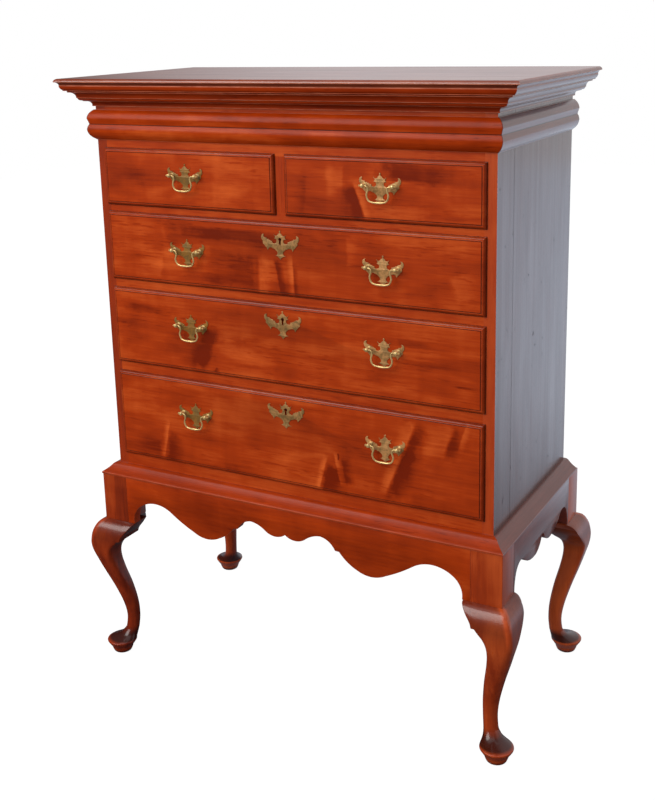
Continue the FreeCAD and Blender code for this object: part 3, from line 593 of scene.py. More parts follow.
# ---------------------------------------------------------------- woods of the pieces
# Flames of each front, as wood takes them.
FLAMES = {
    "small_left": [
        (-150, 1140, 130, 70, 4, 0.10), (-330, 1130, -90, 60, -6, -0.10), (-60, 1110, 45, 26, -20, 0.08),
        (-250, 1190, 90, 14, 0, -0.12)],
    "small_right": [
        (180, 1122, -34, 44, -21, -0.40), (178, 1124, -80, 40, -21, -0.12),
        (181, 1120, 18, 42, -21, 0.30), (196, 1104, 190, 16, 0, 0.14), (232, 1186, 240, 22, 4, -0.42),
        (110, 1160, 34, 34, 0, 0.14), (60, 1130, -30, 50, 6, -0.12), (146, 1170, -22, 30, 4, 0.12)],
    "upper_long": [
        (-55, 960, -200, 44, 3, -0.34), (-54, 958, 46, 52, 3, 0.32), (-8, 954, 20, 44, -13, -0.44),
        (28, 962, -16, 50, -2, 0.32), (30, 950, 12, 42, -2, -0.24), (-232, 1037, 380, 15, 0, -0.30),
        (-280, 1022, 60, 38, -18, -0.18), (-296, 955, -44, 28, 8, 0.18), (150, 1020, 34, 42, 0, 0.16),
        (376, 962, 70, 32, -24, 0.20), (200, 985, 150, 10, 0, -0.10)],
    "middle_long": [
        (-181, 776, -58, 66, 26, -0.32), (-186, 780, -170, 60, 14, -0.12), (-180, 776, 240, 76, 26, 0.16),
        (-172, 741, 12, 7, 40, -0.34), (250, 850, 210, 10, 0, -0.18), (270, 812, 190, 7, 0, -0.14),
        (380, 775, 70, 3, 0, -0.34), (-400, 858, 190, 12, 0, -0.22), (130, 752, 190, 12, 0, 0.08)],
    "lower_long": [
        (86, 548, -16, 46, 16, 0.34), (86, 536, 74, 42, 14, -0.62), (118, 562, 15, 42, -12, 0.34),
        (120, 590, 6, 9, 0, -0.60), (134, 556, 26, 36, -12, -0.30), (150, 596, 90, 22, 10, 0.12),
        (262, 606, -30, 104, 23, 0.36), (263, 600, 46, 106, 23, -0.46), (300, 640, 70, 60, 20, 0.14),
        (368, 660, 30, 42, 20, -0.34), (366, 664, -50, 36, 18, 0.16), (394, 676, 16, 36, 18, 0.24),
        (-312, 556, -16, 56, 12, 0.30), (-310, 544, 54, 42, 12, -0.34), (-330, 534, -70, 26, 8, -0.20),
        (290, 520, 170, 28, 0, -0.16), (-150, 518, 170, 16, 0, -0.16)],
    "frieze": [
        (-200, 1264, 240, 5, 0, 0.16), (60, 1250, 220, 4, 0, 0.16), (-420, 1250, 180, 5, 0, -0.14)],
}
# A front's offset in the pattern, its tone, its polish and its shine.
FRONT_LOOKS = {
    "frieze": ((0.3, 0.1, 0.2), -0.06, 0.0, 0.12), "small_left": ((2.1, 0.4, 1.3), -0.06, 0.16, 0.2),
    "small_right": ((5.2, 1.7, 0.6), 0.0, 0.16, 0.2), "upper_long": ((7.9, 0.9, 2.2), 0.0, 0.16, 0.2),
    "middle_long": ((11.3, 2.0, 3.1), 0.0, 0.16, 0.2), "lower_long": ((14.6, 3.3, 4.5), 0.0, 0.16, 0.2)}
FRONT_WOODS = {
    drawer: wood(drawer + " front wood", "X", offset, blotch=0.95, streak=0.6, shift=shift, coat=coat,
                 gloss=gloss, flames=FLAMES[drawer])
    for drawer, (offset, shift, coat, gloss) in FRONT_LOOKS.items()}
RAIL, UPRIGHT = (
    wood(name, grain, offset, blotch=0.6, streak=0.6, shift=0.08, worn_and_shaded=False, joints=True)
    for name, grain, offset in (("rail wood", "X", (1.1, 5.0, 7.0)), ("upright wood", "Z", (3.1, 4.0, 2.0))))
# The right stile's tone lightens it with painted light, and the left stile's darkens it with painted shade.
SIDES = {
    side: wood(side + " wood", "Z", offset, SHADED_SIDE_STAIN, blotch=0.4, streak=0.35, gloss=0.4, worn_and_shaded=False,
               stile=tone, joints=True)
    for side, offset, tone in (("side_right", (6.1, 1.0, 8.0), 0.12), ("side_left", (2.4, 5.0, 3.0), -0.16))}
TOP = wood("top board wood", "X", (9.1, 6.0, 1.0), TOP_STAIN, blotch=0.6, streak=0.5, coat=0.6, gloss=0.4)
MOULDING = wood("moulding wood", "X", (12.0, 2.0, 6.0), blotch=0.6, streak=0.7, shift=-0.12, coat=0.0,
                gloss=0.15)
RETURN = wood("return moulding wood", "Y", (2.0, 8.0, 3.0), SHADED_RETURN_STAIN, blotch=0.5, streak=0.6, coat=0.65,
              gloss=0.4)
APRON = wood("apron wood", "X", (4.0, 1.5, 9.0), blotch=0.9, streak=0.4, shift=-0.12, coat=0.05, gloss=0.2)
SIDE_APRON = wood("side apron wood", "Y", (7.0, 3.5, 2.0), SHADED_SIDE_APRON_STAIN, blotch=0.5, streak=0.6, coat=0.8,
                  gloss=0.4)
# The legs' shifts are painted light and shade: the right legs lighter, the front left one darker.
LEG_WOODS = {
    leg: wood(leg + " wood", "Z", (place, 9.5, 4.0), LEG_STAIN, streak=0.5, shift=shift, coat=0.6)
    for leg, place, shift in (("leg_front_right", 5.0, 0.10), ("leg_back_right", 7.0, 0.30),
                              ("leg_front_left", 9.0, -0.12), ("leg_back_left", 11.0, 0.0))}
BACK_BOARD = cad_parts["back_boards"].dimensions.x / MM / 4
PINE = wood("bare pine", "X", (3.0, 3.0, 3.0), BARE_PINE, blotch=0.4, coat=0.0, worn_and_shaded=False)
PINE_BACK = wood("upright pine", "Z", (4.0, 2.0, 3.0), AGED_PINE, blotch=0.5, coat=0.0, worn_and_shaded=False,
                 boards=BACK_BOARD)
PINE_SIDE = wood("lengthwise pine", "Y", (6.0, 1.0, 5.0), BARE_PINE, blotch=0.4, coat=0.0, worn_and_shaded=False)

# CAD nodes that stay, and their finishes.
FINISHES = {**SIDES, "bottom_board": PINE, "back_boards": PINE_BACK, "drawer_rails": RAIL,
            "drawer_divider": UPRIGHT, "drawer_runners": PINE_SIDE, "apron_back": PINE, "frame_bearers": PINE}
for drawer in FRONT_WOODS:
    FINISHES |= {drawer + "_box": PINE_SIDE, drawer + "_bottom": PINE}
for drawer in LOCKED:
    FINISHES |= {drawer + "_lock_case": IRON, drawer + "_lock_bolt": IRON}
for node, finish in FINISHES.items():
    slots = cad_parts[node].data.materials
    slots.clear()
    slots.append(finish)

# ---------------------------------------------------------------- mouldings and top
# Profiles are (out from the case, up).
WAIST = [(0, 0), (30.5, 0), (31.6, 2.2, 31.2, 4.5), (29, 6.4), (19.6, 13.2, 11.9, 21.3),
         (7.6, 23.9, 1.3, 24.5), (0, 24.5)]
FRIEZE_TORUS = [(0, 0), (2, 0), (2, 1), (10.8, 9, 15.4, 21.5), (14.2, 28, 11.3, 33.5),
                (12.6, 38.5, 15, 45.5), (12.4, 54.5, 4, 63.5), (4, 64), (0, 64)]
CORNICE = [(0, 0), (4.8, 0), (4.8, 2), (5.9, 6.8, 10.8, 10.6), (18.8, 11.4), (18.8, 13.2),
           (24.4, 14.4, 26.4, 18.2), (28, 18.2), (28, 20), (31.4, 27.6, 40, 30.8), (41.2, 30.8),
           (41.2, 34.4), (47.5, 34.4), (47.5, 36.2), (51.4, 40.2, 53, 46), (0, 46)]
TOP_EDGE = [(0, 0), (52.5, 0), (55, 5.1, 61, 7.2), (61, 8.8), (58.4, 12.8, 54, 14.5), (48, 14.5)]
FRIEZE_GAP = 0.8           # beside the frieze drawer's mitres
FRIEZE_HALF, FRIEZE_LOW, FRIEZE_HIGH = 432, 1231.8, 1278.5     # body of its front


def worked(path, ease=0.5):
    """A moulding's points with eased arrises, close enough together for the edge values, and those values for
    rubbing, painted highlight and painted shade.
    """
    points = dense(eased(drawn(path), ease), step=1.2)
    return points, edge_wear_and_light(points)


def swept(points, base, corners):
    """Rings of a profile at the case's corners.

    A corner is (x, y, share across, share ahead): a point stands at the corner plus its reach out
    from the case times the two shares.
    """
    out, up = np.array(points).T
    return [np.column_stack([x + across * out, y + ahead * out, base + up])
            for x, y, across, ahead in corners]


def front_corners(gap=0.0):
    """Mitres of a front moulding, which stops a gap short of them."""
    return [(sign * (HALF_CASE - gap), 0, sign, -1) for sign in (-1, 1)]


def return_corners(sign):
    """Mitre and back end of a moulding on the right or the left side."""
    return [(sign * HALF_CASE, 0, sign, -1), (sign * HALF_CASE, CASE_DEPTH, sign, 0)]


def moulding(name, path, base, corners, body, material, replaced):
    """Moulding from corner to corner, with both ends filled."""
    points, wear_and_light = worked(path)
    put(name, *tube(swept(points, base, corners)), body, "case_wood", material, sharp=30,
        wear_and_light=np.tile(wear_and_light, len(corners)), replaced=replaced)


for kind, path, base in (("waist", WAIST, CASE_BOTTOM), ("cornice", CORNICE, CORNICE_BOTTOM),
                         ("frieze", FRIEZE_TORUS, FRIEZE_BOTTOM)):
    for hand, sign in (("right", 1), ("left", -1)):
        moulding(kind + "_return_" + hand, path, base, return_corners(sign), "carcase", RETURN,
                 kind + "_returns")
    if kind != "frieze":
        moulding(kind + "_moulding", path, base, front_corners(), "carcase", MOULDING, kind + "_front")

frieze_path = [step if len(step) == 4 else (max(step[0], -LIP_BACK), step[1]) for step in FRIEZE_TORUS]
moulding("frieze_moulding", frieze_path, FRIEZE_BOTTOM, front_corners(FRIEZE_GAP), "frieze_drawer",
         FRONT_WOODS["frieze"], "frieze_front")
frieze_plan = [(-FRIEZE_HALF, LIP_BACK), (FRIEZE_HALF, LIP_BACK),
               (FRIEZE_HALF, BODY_BACK), (-FRIEZE_HALF, BODY_BACK)]
put("frieze_body", *tube([level_ring(frieze_plan, z) for z in (FRIEZE_LOW, FRIEZE_HIGH)]), "frieze_drawer",
    "case_wood", FRONT_WOODS["frieze"])

# The top board's rings lie level, each round three sides of the case and along the back.
points, wear_and_light = worked(TOP_EDGE, ease=0.4)
rings = np.stack(swept(points, CASE_TOP, return_corners(-1)[::-1] + return_corners(1)), axis=1)
put("top_moulded", *tube(list(rings)), "carcase", "case_wood", TOP, sharp=30, wear_and_light=np.repeat(wear_and_light, 4),
    replaced="top_board")

# ---------------------------------------------------------------- drawer fronts
# Lip: (in from the edge, out from the case).
LIP = [(0, 0.3), (0, 2.8), (1.9, 5.6, 6.2, 6.9), (6.4, 7.6), (6.9, 8.0), (8.2, 8.0), (11, 8.0)]
BODY_SIDES, BODY_FOOT = 5.7, 4.8           # in from the lip's edges to the body behind it
MORTISE_HALF = 27.1                        # of a lock, a little outside it
MORTISE_DEPTH = 41.9                       # below the top of the front
MORTISE_FLOOR = 4.9
MORTISE_STEP = 0.1                         # the skin drops into the mortise within this depth
KEY_SLOT, KEY_HEAD = 1.8, 3.3              # half width of the slot, and radius of the head
KEY_RISE, KEY_DROP = 6.0, 5.0              # up to the head's middle, and down to the slot's foot
KEY_END = MORTISE_FLOOR - 0.5              # the keyhole's pocket ends just before the mortise


def keyhole(x, z, grow=0.0):
    """Outline of a keyhole: a circle for the head, over a slot as wide as a chord of it."""
    half, radius, foot = KEY_SLOT + grow, KEY_HEAD + grow, z - KEY_DROP - grow
    low = math.asin(half / radius)
    turns = np.linspace(low - math.pi / 2, 1.5 * math.pi - low, 22)
    head = np.column_stack([x + radius * np.cos(turns), z + KEY_RISE + radius * np.sin(turns)])
    return np.vstack([head, [(x - half, foot), (x + half, foot)]])


def front_ring(drawer, y, sides, foot, mortised=False):
    """Section of a front at y, in from the edges by sides and foot.

    A front with a lock has four more points along its top, and they drop to the mortise's corners
    where it is mortised.
    """
    left, right, low, high = FRONTS[drawer]
    left, right, low, top, notch = left + sides, right - sides, low + foot, high - sides, []
    if drawer in LOCKED:
        inner = (MORTISE_HALF, top - MORTISE_DEPTH) if mortised else (MORTISE_HALF / 3, top)
        notch = [(MORTISE_HALF, top), inner, (-inner[0], inner[1]), (-MORTISE_HALF, top)]
    return upright_ring([(left, low), (right, low), (right, top), *notch, (left, top)], y)


def lipped_front(drawer):
    """Front with a thumbnail lip on all four edges, a keyhole and an open mortise for the lock.

    Its skin runs over sections of the body, from the back, and then over the lip's points, each
    of which is as far in from all four edges.
    """
    edge = dense(drawn(LIP, count=7), step=2.0)
    body = [(BODY_BACK, False), (LIP_BACK, False)]
    if drawer in LOCKED:
        body = [(BODY_BACK, True), (MORTISE_FLOOR, True), (MORTISE_FLOOR - MORTISE_STEP, False),
                (LIP_BACK, False)]
    rings = [front_ring(drawer, y, BODY_SIDES, BODY_FOOT, mortised) for y, mortised in body]
    rings += [front_ring(drawer, -out, a, a) for a, out in edge]
    # The lip's edge values give its arrises a painted highlight and its fillet painted shade.
    wear_and_light = np.repeat([0.5] * len(body) + list(edge_wear_and_light(edge)), len(rings[0]))
    verts, faces = tube(rings)
    if drawer in LOCKED:
        hole = keyhole(0, LOCKED[drawer])
        face, start, count = faces.pop(), len(verts), len(hole)
        verts = np.vstack([verts, upright_ring(hole, FACE_Y), upright_ring(hole, KEY_END)])
        # The keyhole's pocket is set low, which darkens it with painted shade.
        wear_and_light = np.append(wear_and_light, [0.4] * (2 * count))
        faces += filled(verts, [face, range(start, start + count)])
        faces += grid_faces(2, count, start)
        faces.append(list(range(start + count, start + 2 * count)))
    put(drawer + "_lipped", verts, faces, drawer + "_drawer", "case_wood", FRONT_WOODS[drawer], sharp=30,
        wear_and_light=wear_and_light, replaced=drawer + "_front")


for drawer in FRONTS:
    lipped_front(drawer)

# ---------------------------------------------------------------- frame
# Lower edges of the aprons, right half: (from the middle, above the apron's feet).
APRON_EDGE = [(0, 54), (27, 45.5, 50, 54.5), (65, 63.5, 85, 68.5), (105, 61.5, 119, 46), (121, 43.5),
              (130, 43), (147, 25.5, 172, 10), (203, 2.5, 236, 11.5), (272, 30, 300, 48),
              (338, 59.5, 380, 48), (399, 28, 403.5, 0), (421, 0)]
SIDE_APRON_EDGE = [(0, 55), (5.2, 51.4, 9, 46), (27, 30, 56, 25), (88, 30.5, 112, 42), (143, 54, 165, 41),
                   (173, 22, 175, 0), (181, 0)]


def apron(path, span):
    """Closed outline of an apron: its shaped lower edge and the straight top."""
    lower = both_halves(drawn(path, count=14))
    return [(a, LEG_HEIGHT + b) for a, b in lower] + [(span, CASE_BOTTOM), (-span, CASE_BOTTOM)]


outline = apron(APRON_EDGE, APRON_SPAN)
verts, faces, wear_and_light = cut_sheet(outline, FRAME_FRONT, FRAME_FRONT + APRON_THICKNESS, APRON_EASE)
put("front_apron", verts, faces, "carcase", "case_wood", APRON, sharp=40, wear_and_light=wear_and_light, replaced="apron_front")
outline = apron(SIDE_APRON_EDGE, SIDE_APRON_SPAN)
verts, faces, wear_and_light = cut_sheet(outline, FRAME_HALF, FRAME_HALF - APRON_THICKNESS, APRON_EASE)
for hand, sign in (("right", 1), ("left", -1)):
    turned_verts = np.column_stack([sign * verts[:, 1], FRAME_MIDDLE + verts[:, 0], verts[:, 2]])
    put("side_apron_" + hand, turned_verts, faces, "carcase", "case_wood", SIDE_APRON, sharp=40, wear_and_light=wear_and_light,
        replaced="side_aprons")

# Height, how far the outer and inner faces stand from the post's outer face, and the radii of the
# outer, side and inner corners.
LEG = [(345, -0.6, 65.4, 2, 2, 3), (341, 9.5, 66, 3, 2, 3), (332, 17.6, 66, 4, 2, 4),
       (316, 25.2, 59, 6, 2, 7), (298, 28.9, 44, 8, 3, 10), (284, 29.8, 31, 10, 4, 12),
       (268, 28, 25.2, 12, 6, 12), (246, 22.3, 25.3, 14, 9, 13), (215, 13.2, 30.6, 16, 12, 14),
       (170, -1.4, 41, 16, 15, 15.5), (125, -13.6, 48, 16, 16, 16), (90, -18.8, 49.4, 15.3, 15.3, 15.3),
       (62, -17, 47.5, 15.2, 15.2, 15.2)]
# Pad foot: height, radius and how far in from the post's outer corner, along the diagonal.
FOOT = [(52, 16.6, 42), (43, 20.5, 35.5), (37, 26.5, 27.5), (33, 32.2, 20.3), (31.2, 34.2, 17.8),
        (30.2, 34.8, 17.2), (28.6, 34.9, 17.2), (26.6, 34.2, 17.2), (22.4, 31.4, 17.2), (18.6, 29, 17.2),
        (14.6, 26.2, 17.2), (12.2, 25, 17.2), (9, 24.2, 17.2), (2, 21.2, 17.2), (0, 19.1, 17.2)]
# Knee block: (beyond the leg's inner face, below the frame).
KNEE_EDGE = [(16, 0), (15.2, 2.5), (12, 7), (4, 18), (-4.4, 28), (-8.8, 35), (-11, 42)]
KNEE_BURIED = 9.0          # how far a knee block runs on inside the leg
KNEE_LEAST = 6.0           # width of its narrowest level
KNEE_TOP = 0.2             # depth of its first level below the posts
KNEE_THICK = 46.0          # front to back
KNEE_FRONT, KNEE_BACK = 0.25, 2.0     # how far its faces stand inside the leg's
KNEE_ROUND, POST_ROUND = 2.5, 1.2     # radii of corners


def leg_rows(steps=8):
    """Sections of the leg from the post down, on a smooth curve through the drawn ones."""
    rows = list(LEG)
    for height, radius, back in FOOT:
        shift = back / math.sqrt(2)
        rows.append((height, radius - shift, radius + shift, radius, radius, radius))
    return smooth_line(rows, steps)


def frame_shade(height):
    """Painted shade under the frame: nothing up to the knee's middle, then deeper in step with the height."""
    return np.interp(height, [258, 303], [0, 0.18])


def leg_rings(around=80):
    """Rings of the front right leg, and their values for rubbing, painted highlight and painted shade.

    Each section is a superellipse quarter by quarter: in the direction t the ring lies at
    a (|cos t|^n + |sin t|^n)^(-1/n), with n chosen from the corner's radius. The value is high on
    the knee's ridge, a painted highlight, and on the pad's rim, and it paints shade on the inner
    side, under the frame, in the hollow over the pad and on the sole.
    """
    rings, wear_and_light = [], []
    t = 2 * math.pi * np.arange(around) / around
    c, s = np.cos(t), np.sin(t)
    blend = np.abs(np.sin(2 * t)) ** 0.5
    facing = (c + s) / math.sqrt(2)
    shade = np.interp(facing, [-0.8, 0.2], [0.08, 0])
    for height, out, inner, r_out, r_side, r_in in leg_rows():
        half, middle = (out + inner) / 2, (out - inner) / 2
        end = np.where(c + s > 0, r_out, r_in)
        radius = blend * np.where(c * s < 0, r_side, end) + (1 - blend) * (r_side + end) / 2
        share = np.clip(radius / half, 0.02, 1)
        power = -math.log(2) / np.log(1 - (1 - math.sqrt(0.5)) * share)
        reach = half * (np.abs(c) ** power + np.abs(s) ** power) ** (-1 / power)
        rings.append(level_ring(np.column_stack([FRAME_HALF + middle + reach * c,
                                                 FRAME_FRONT - middle - reach * s]), height))
        # The knee's ridge gets a painted highlight; the inner side, the hollow over the pad, the sole and the
        # part under the frame get painted shade.
        ridge = np.interp(facing, [0.985, 1], [0, 0.34]) * np.interp(height, [240, 280], [0, 1])
        rim = np.interp(height, [26.5, 29, 31.5], [0, 0.24, 0])
        hollow = np.interp(height, [31, 34, 44, 64], [0, 0.3, 0.3, 0])
        sole = np.interp(height, [4, 9], [0.2, 0])
        wear_and_light.append(0.5 + ridge + rim - shade - hollow - sole - frame_shade(height))
    return rings, np.concatenate(wear_and_light)


def knee_block(width, height):
    """Bracket that carries the knee's front over to the apron; its edge follows KNEE_EDGE, scaled.

    Each level is a strip from the edge to a little inside the leg, as deep as the leg or the
    block, whichever is less, with its outer corner rounded.
    """
    rows = leg_rows()
    scale = (width / KNEE_EDGE[0][0], height / KNEE_EDGE[-1][1])
    turns = np.linspace(0, math.pi / 2, 5)
    rings = []
    for beyond, below in smooth_line(np.array(KNEE_EDGE) * scale, 4):
        z = LEG_HEIGHT - max(below, KNEE_TOP)
        out, inner = (np.interp(-z, -rows[:, 0], rows[:, k]) for k in (1, 2))
        tip = APRON_SPAN - beyond
        root = max(FRAME_HALF - inner + KNEE_BURIED, tip + KNEE_LEAST)
        front, back = FRAME_FRONT - out + KNEE_FRONT, FRAME_FRONT + min(KNEE_THICK, inner - KNEE_BACK)
        corner = (tip, front) + KNEE_ROUND * (1 - np.column_stack([np.cos(turns), np.sin(turns)]))
        rings.append(level_ring(np.vstack([corner, [(root, front), (root, back), (tip, back)]]), z))
    return tube(rings)


def placed(verts, right, front, swapped=False):
    """A front right piece carried to one of the frame's corners, or first turned to its other face."""
    moved = np.array(verts, float)
    if swapped:
        across, depth = FRAME_HALF - moved[:, 0], moved[:, 1] - FRAME_FRONT
        moved[:, 0], moved[:, 1] = FRAME_HALF - depth, FRAME_FRONT + across
    if not right:
        moved[:, 0] *= -1
    if not front:
        moved[:, 1] = 2 * FRAME_MIDDLE - moved[:, 1]
    return moved


def post_head():
    """Square head of the front right leg, beside the aprons, with quarter circles for corners."""
    near, far = POST_SIZE - POST_ROUND, POST_ROUND
    outline = []
    for number, (a, b) in enumerate(((near, near), (far, near), (far, far), (near, far))):
        turns = math.pi / 2 * (number + np.linspace(0, 1, 4))
        outline.append((a, b) + POST_ROUND * np.column_stack([np.cos(turns), np.sin(turns)]))
    outline = np.vstack(outline) + (FRAME_HALF - POST_SIZE, FRAME_FRONT)
    return tube([level_ring(outline, z) for z in (LEG_HEIGHT, CASE_BOTTOM)])


rings, leg_wear_and_light = leg_rings()
leg_verts, leg_faces = tube(rings)
post_verts, post_faces = post_head()
blocks = {"front": knee_block(16, 42), "side": knee_block(9, 27)}
for hand in ("right", "left"):
    for end in ("front", "back"):
        node = "leg_" + end + "_" + hand
        where = (hand == "right", end == "front")
        put(node + "_turned", placed(leg_verts, *where), leg_faces, "carcase", "case_wood", LEG_WOODS[node],
            sharp=50, wear_and_light=leg_wear_and_light, replaced=node)
        put(node + "_post", placed(post_verts, *where), post_faces, "carcase", "case_wood", LEG_WOODS[node],
            sharp=50)
        # The knee blocks get painted shade under the frame.
        for kind, (verts, faces) in blocks.items():
            put(node + "_block_" + kind, placed(verts, *where, swapped=kind == "side"), faces, "carcase",
                "case_wood", LEG_WOODS[node], sharp=40, wear_and_light=0.5 - frame_shade(verts[:, 2]), replaced="knee_blocks")

# ---------------------------------------------------------------- brasses
# Batwing plate, right half: (from its middle, above the posts).
BATWING = [(0, 24.2), (1.7, 22.6, 0.9, 20.8), (2.2, 18.2, 4.6, 16.8), (6.2, 14.2, 9, 13),
           (11.2, 13.4, 13.8, 15.8), (11.8, 13.2, 11, 10.8), (11.8, 8.8, 13.8, 7.2),
           (11.6, 6.8, 9.5, 6.5), (8.2, 0.6, 12.3, -2.6), (16.2, -2.4, 18.4, 2), (21.6, 2.2, 23.4, 4),
           (25.8, 3.8, 27.4, 6), (30.2, 5.6, 31.6, 8.6), (36.4, 8.4, 38.4, 10.8),
           (38.6, 13.2, 37.2, 15.3), (42.4, 13.6, 43.9, 7.5), (42.6, 3.6, 39.8, 1), (40.6, -2, 39.9, -5),
           (37, -6.8, 35.4, -9.4), (31.8, -12.6, 29.4, -17), (28, -14.8, 27.3, -12.8),
           (22, -11.2, 17, -13), (12.8, -14.2, 9.4, -17.2), (6.6, -20.4, 6.8, -24.5),
           (9.4, -27, 12.5, -28), (9, -28.4, 5.6, -30), (2.4, -32, 0, -35.5)]
# Bail, right half of its grip: (from its middle, below the posts).
BAIL = [(23.2, 1), (21.1, 3.2), (20.6, 9), (22.6, 15), (22.8, 20.5), (18.6, 28.4), (9, 31.4), (0, 31.6)]
# End of a bail: (from its middle, above the posts, radius).
BAIL_END = [(39.6, 0, 0.5), (39.2, 0, 1.6), (38.4, 0, 2.5), (37.4, 0, 2.7), (36.7, 0, 1.5), (35.5, 0, 1.3),
            (26.2, 0, 1.3), (24.0, -0.4, 1.7)]
# Radius of the grip near its ends, what its swelling adds, and how far that reaches each way.
GRIP_RADIUS, GRIP_SWELL, GRIP_REACH = 1.75, 0.45, 9.0
# Post: (radius, y).
POST_PROFILE = [(4.6, FACE_Y - PLATE), (4.7, -9.8), (4.0, -10.6), (2.9, -11.4), (2.6, -12.6),
                (2.8, -14.6), (3.6, -16.2), (4.2, -17.8), (4.5, -19.4), (4.5, -20.8), (4.3, -22.2),
                (3.7, -23.6), (2.6, -24.5), (1.2, -24.9), (0.2, -25)]
# Nut: (y, share of its half width).
NUT_HALF = 4.5
NUT_LEVELS = [(14.0, 1), (16.6, 1), (17.0, 0.9)]


def plate(name, x, z, body, material, hole=None, replaced=None):
    """Cast and filed plate, thin, with its arrises softened and perhaps a keyhole."""
    half = drawn(BATWING, count=5)
    outline = [(x + a, z + b) for a, b in half + [(-a, b) for a, b in reversed(half[1:-1])]]
    verts, faces, _ = cut_sheet(outline, FACE_Y - PLATE, FACE_Y, ease=0.35, hole=hole)
    put(name, verts, faces, body, "brass", material, replaced=replaced)


def turned(profile, x, z, around=28):
    """Piece turned about a line along Y: a ring for each (radius, y) of its profile."""
    t = 2 * math.pi * np.arange(around) / around
    circle = np.column_stack([np.cos(t), np.sin(t)])
    return tube([upright_ring((x, z) + r * circle, y) for r, y in profile])


def wire(line, y, around=14):
    """Tube along (x, z, radius) rows in the plane at y; each ring is square to the mean heading."""
    heading = np.gradient(line[:, :2], axis=0)
    heading /= np.linalg.norm(heading, axis=1)[:, None]
    t = 2 * math.pi * np.arange(around) / around
    c, s = np.cos(t), np.sin(t)
    return tube([np.column_stack([x - radius * c * hz, y + radius * s, z + radius * c * hx])
                 for (x, z, radius), (hx, hz) in zip(line, heading)])


def bail_line(x, z):
    """Centre line of a bail with its radius: ball, pin through the post, then the grip.

    The grip's radius is its least one plus a bell curve about the middle.
    """
    curve = smooth_line(np.array(BAIL) * (1, -1), 6)
    swell = GRIP_SWELL * np.exp(-((curve[:, 0] / GRIP_REACH) ** 2))
    right = np.vstack([BAIL_END, np.column_stack([curve, GRIP_RADIUS + swell])])
    left = right[-2::-1] * (-1, 1, 1)
    return np.vstack([right, left]) + (x, z, 0)


def nut(x, z):
    """Square nut on the back of a front, chamfered behind."""
    square = NUT_HALF * np.array([(1, 1), (-1, 1), (-1, -1), (1, -1)])
    return tube([upright_ring((x, z) + share * square, y) for y, share in NUT_LEVELS])


for drawer, (post_z, pulls) in PULLS.items():
    body = drawer + "_drawer"
    for pull in pulls:
        hand = "" if len(pulls) == 1 else ("_left" if pull < 0 else "_right")
        plate(drawer + "_plate" + hand, pull, post_z, body, PLATE_BRASS if pull > 0 else OLIVE_BRASS,
              replaced=drawer + "_brasses")
        for side, sign in (("a", -1), ("b", 1)):
            x = pull + sign * HALF_BORING
            put(drawer + "_post" + hand + "_" + side, *turned(POST_PROFILE, x, post_z), body, "brass",
                CAST_BRASS, sharp=50)
            put(drawer + "_nut" + hand + "_" + side, *nut(x, post_z), body, "brass", CAST_BRASS)
        node = drawer + "_bail" + hand
        put(node + "_wire", *wire(bail_line(pull, post_z), HEAD_Y), node, "brass", CAST_BRASS, sharp=60,
            replaced=node)
    if drawer in LOCKED:
        z = LOCKED[drawer]
        plate(drawer + "_shield", 0, z, body, SHIELD_BRASS, hole=keyhole(0, z, grow=0.2))

# ---------------------------------------------------------------- camera, stage and light
# Places are in metres and angles in radians from here on.
CAMERA_PLACE = (1.1754, -2.1704, 1.4670)
YAW, PITCH, ROLL = 0.5069, -0.2379, -0.0257
LENS, SENSOR = 51.60, 36.0
SHIFT_X, SHIFT_Y = 0.00607, -0.1299
WHITE, BLACK = (1, 1, 1, 1), (0, 0, 0, 1)


def aim_camera():
    """Camera that looks level along Y, then rolled, pitched and turned by its yaw."""
    data = bpy.data.cameras.new("camera")
    data.lens = LENS
    data.sensor_width = SENSOR
    data.shift_x = SHIFT_X
    data.shift_y = SHIFT_Y
    data.clip_end = 50
    camera = bpy.data.objects.new("camera", data)
    camera.matrix_world = (Matrix.Translation(CAMERA_PLACE) @ Matrix.Rotation(YAW, 4, "Z")
                           @ Matrix.Rotation(math.pi / 2 + PITCH, 4, "X") @ Matrix.Rotation(ROLL, 4, "Z"))
    bpy.context.scene.collection.objects.link(camera)
    bpy.context.scene.camera = camera


def light(name, spot, target, size, power, colour=(1, 1, 1)):
    """Square area lamp at a spot, turned to its target."""
    data = bpy.data.lights.new(name, "AREA")
    data.shape = "SQUARE"
    data.size = size
    data.energy = power
    data.color = colour
    lamp = bpy.data.objects.new(name, data)
    lamp.location = spot
    lamp.rotation_euler = (Vector(target) - Vector(spot)).to_track_quat("-Z", "Y").to_euler()
    bpy.context.scene.collection.objects.link(lamp)


def seen_rays(t):
    """1 for camera rays, and 1 for glossy or transmission rays."""
    path = t.add("ShaderNodeLightPath").outputs
    return path["Is Camera Ray"], t.math("MAXIMUM", path["Is Glossy Ray"], path["Is Transmission Ray"])


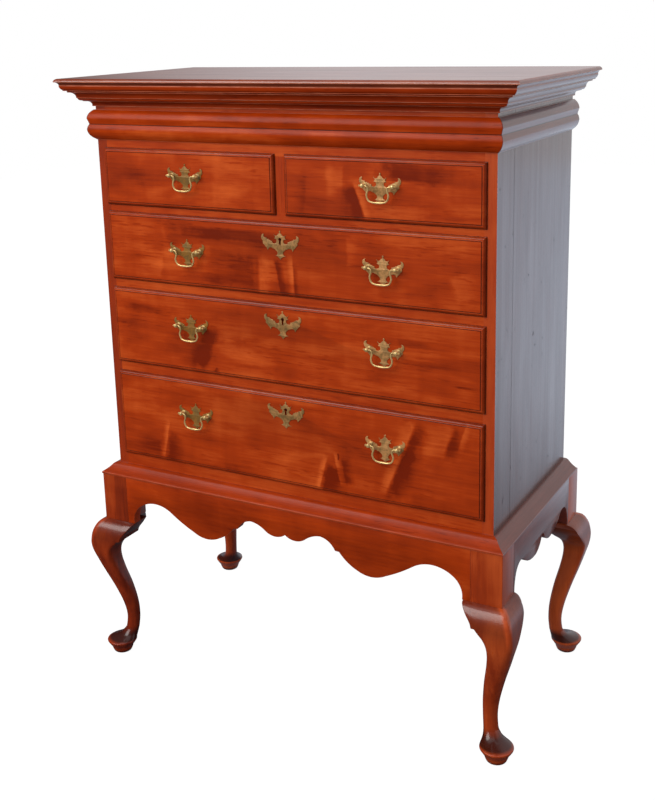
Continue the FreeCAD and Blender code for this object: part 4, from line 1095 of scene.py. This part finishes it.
def make_world():
    """World that is white where it is seen.

    Reflections find it white behind the piece, dim high in front and dark low in front.
    """
    world = bpy.data.worlds.new("studio")
    world.use_nodes = True
    bpy.context.scene.world = world
    t = Tree(world.node_tree)
    camera, mirrored = seen_rays(t)
    heading = t.parts(t.add("ShaderNodeTexCoord").outputs["Generated"])
    ahead = t.span(heading["Z"], 0.1, 0.9, 0.02, 0.16, smooth=True)
    grey = t.add("ShaderNodeCombineColor", {0: ahead, 1: ahead, 2: ahead}).outputs[0]
    behind = t.span(t.plus(heading["Y"], (heading["X"], 0.6)), 0.22, 0.62, smooth=True)
    around = t.mix(behind, grey, (0.70, 0.70, 0.72, 1))
    lighting = t.mix(mirrored, (0.60, 0.60, 0.60, 1), around)
    t.feed(t.tree.nodes["Background"], {"Color": t.mix(camera, lighting, WHITE), "Strength": 1.0})


def make_floor():
    """Floor that is near white where it is seen and takes shadows.

    Reflections find it dark in front and white far behind.
    """
    mesh = bpy.data.meshes.new("floor")
    mesh.from_pydata([(-7, -5, 0), (7, -5, 0), (7, 9, 0), (-7, 9, 0)], [], [(0, 1, 2, 3)])
    floor = bpy.data.objects.new("floor", mesh)
    bpy.context.scene.collection.objects.link(floor)
    material, t, shader, place = new_material("pale floor")
    t.tree.nodes.remove(shader)
    camera, mirrored = seen_rays(t)
    behind = t.span(t.parts(place)["Y"], 0.0, 2.0, 0.03, 1.0)
    plain = t.add("ShaderNodeBsdfDiffuse", {"Color": (0.3, 0.29, 0.28, 1)}).outputs[0]
    mirror = t.add("ShaderNodeEmission", {"Color": t.mix(behind, BLACK, (0.76, 0.85, 1.0, 1)),
                                          "Strength": 1.0})
    shown = t.add("ShaderNodeAddShader", {
        0: t.add("ShaderNodeBsdfDiffuse", {"Color": (0.12, 0.12, 0.12, 1)}).outputs[0],
        1: t.add("ShaderNodeEmission", {"Color": WHITE, "Strength": 0.96}).outputs[0]})
    unseen = t.add("ShaderNodeMixShader", {0: mirrored, 1: plain, 2: mirror.outputs[0]}).outputs[0]
    surface = t.add("ShaderNodeMixShader", {0: camera, 1: unseen, 2: shown.outputs[0]}).outputs[0]
    t.feed(t.tree.nodes["Material Output"], {"Surface": surface})
    mesh.materials.append(material)


aim_camera()
make_world()
make_floor()
light("key", spot=(-2.0, -3.4, 3.3), target=(0, -0.2, 0.8), size=3.0, power=160, colour=(1.0, 0.98, 0.95))
light("top fill", spot=(0.3, -0.8, 3.6), target=(0.1, 0, 0.9), size=3.0, power=20)
bpy.context.scene.view_settings.view_transform = "Standard"
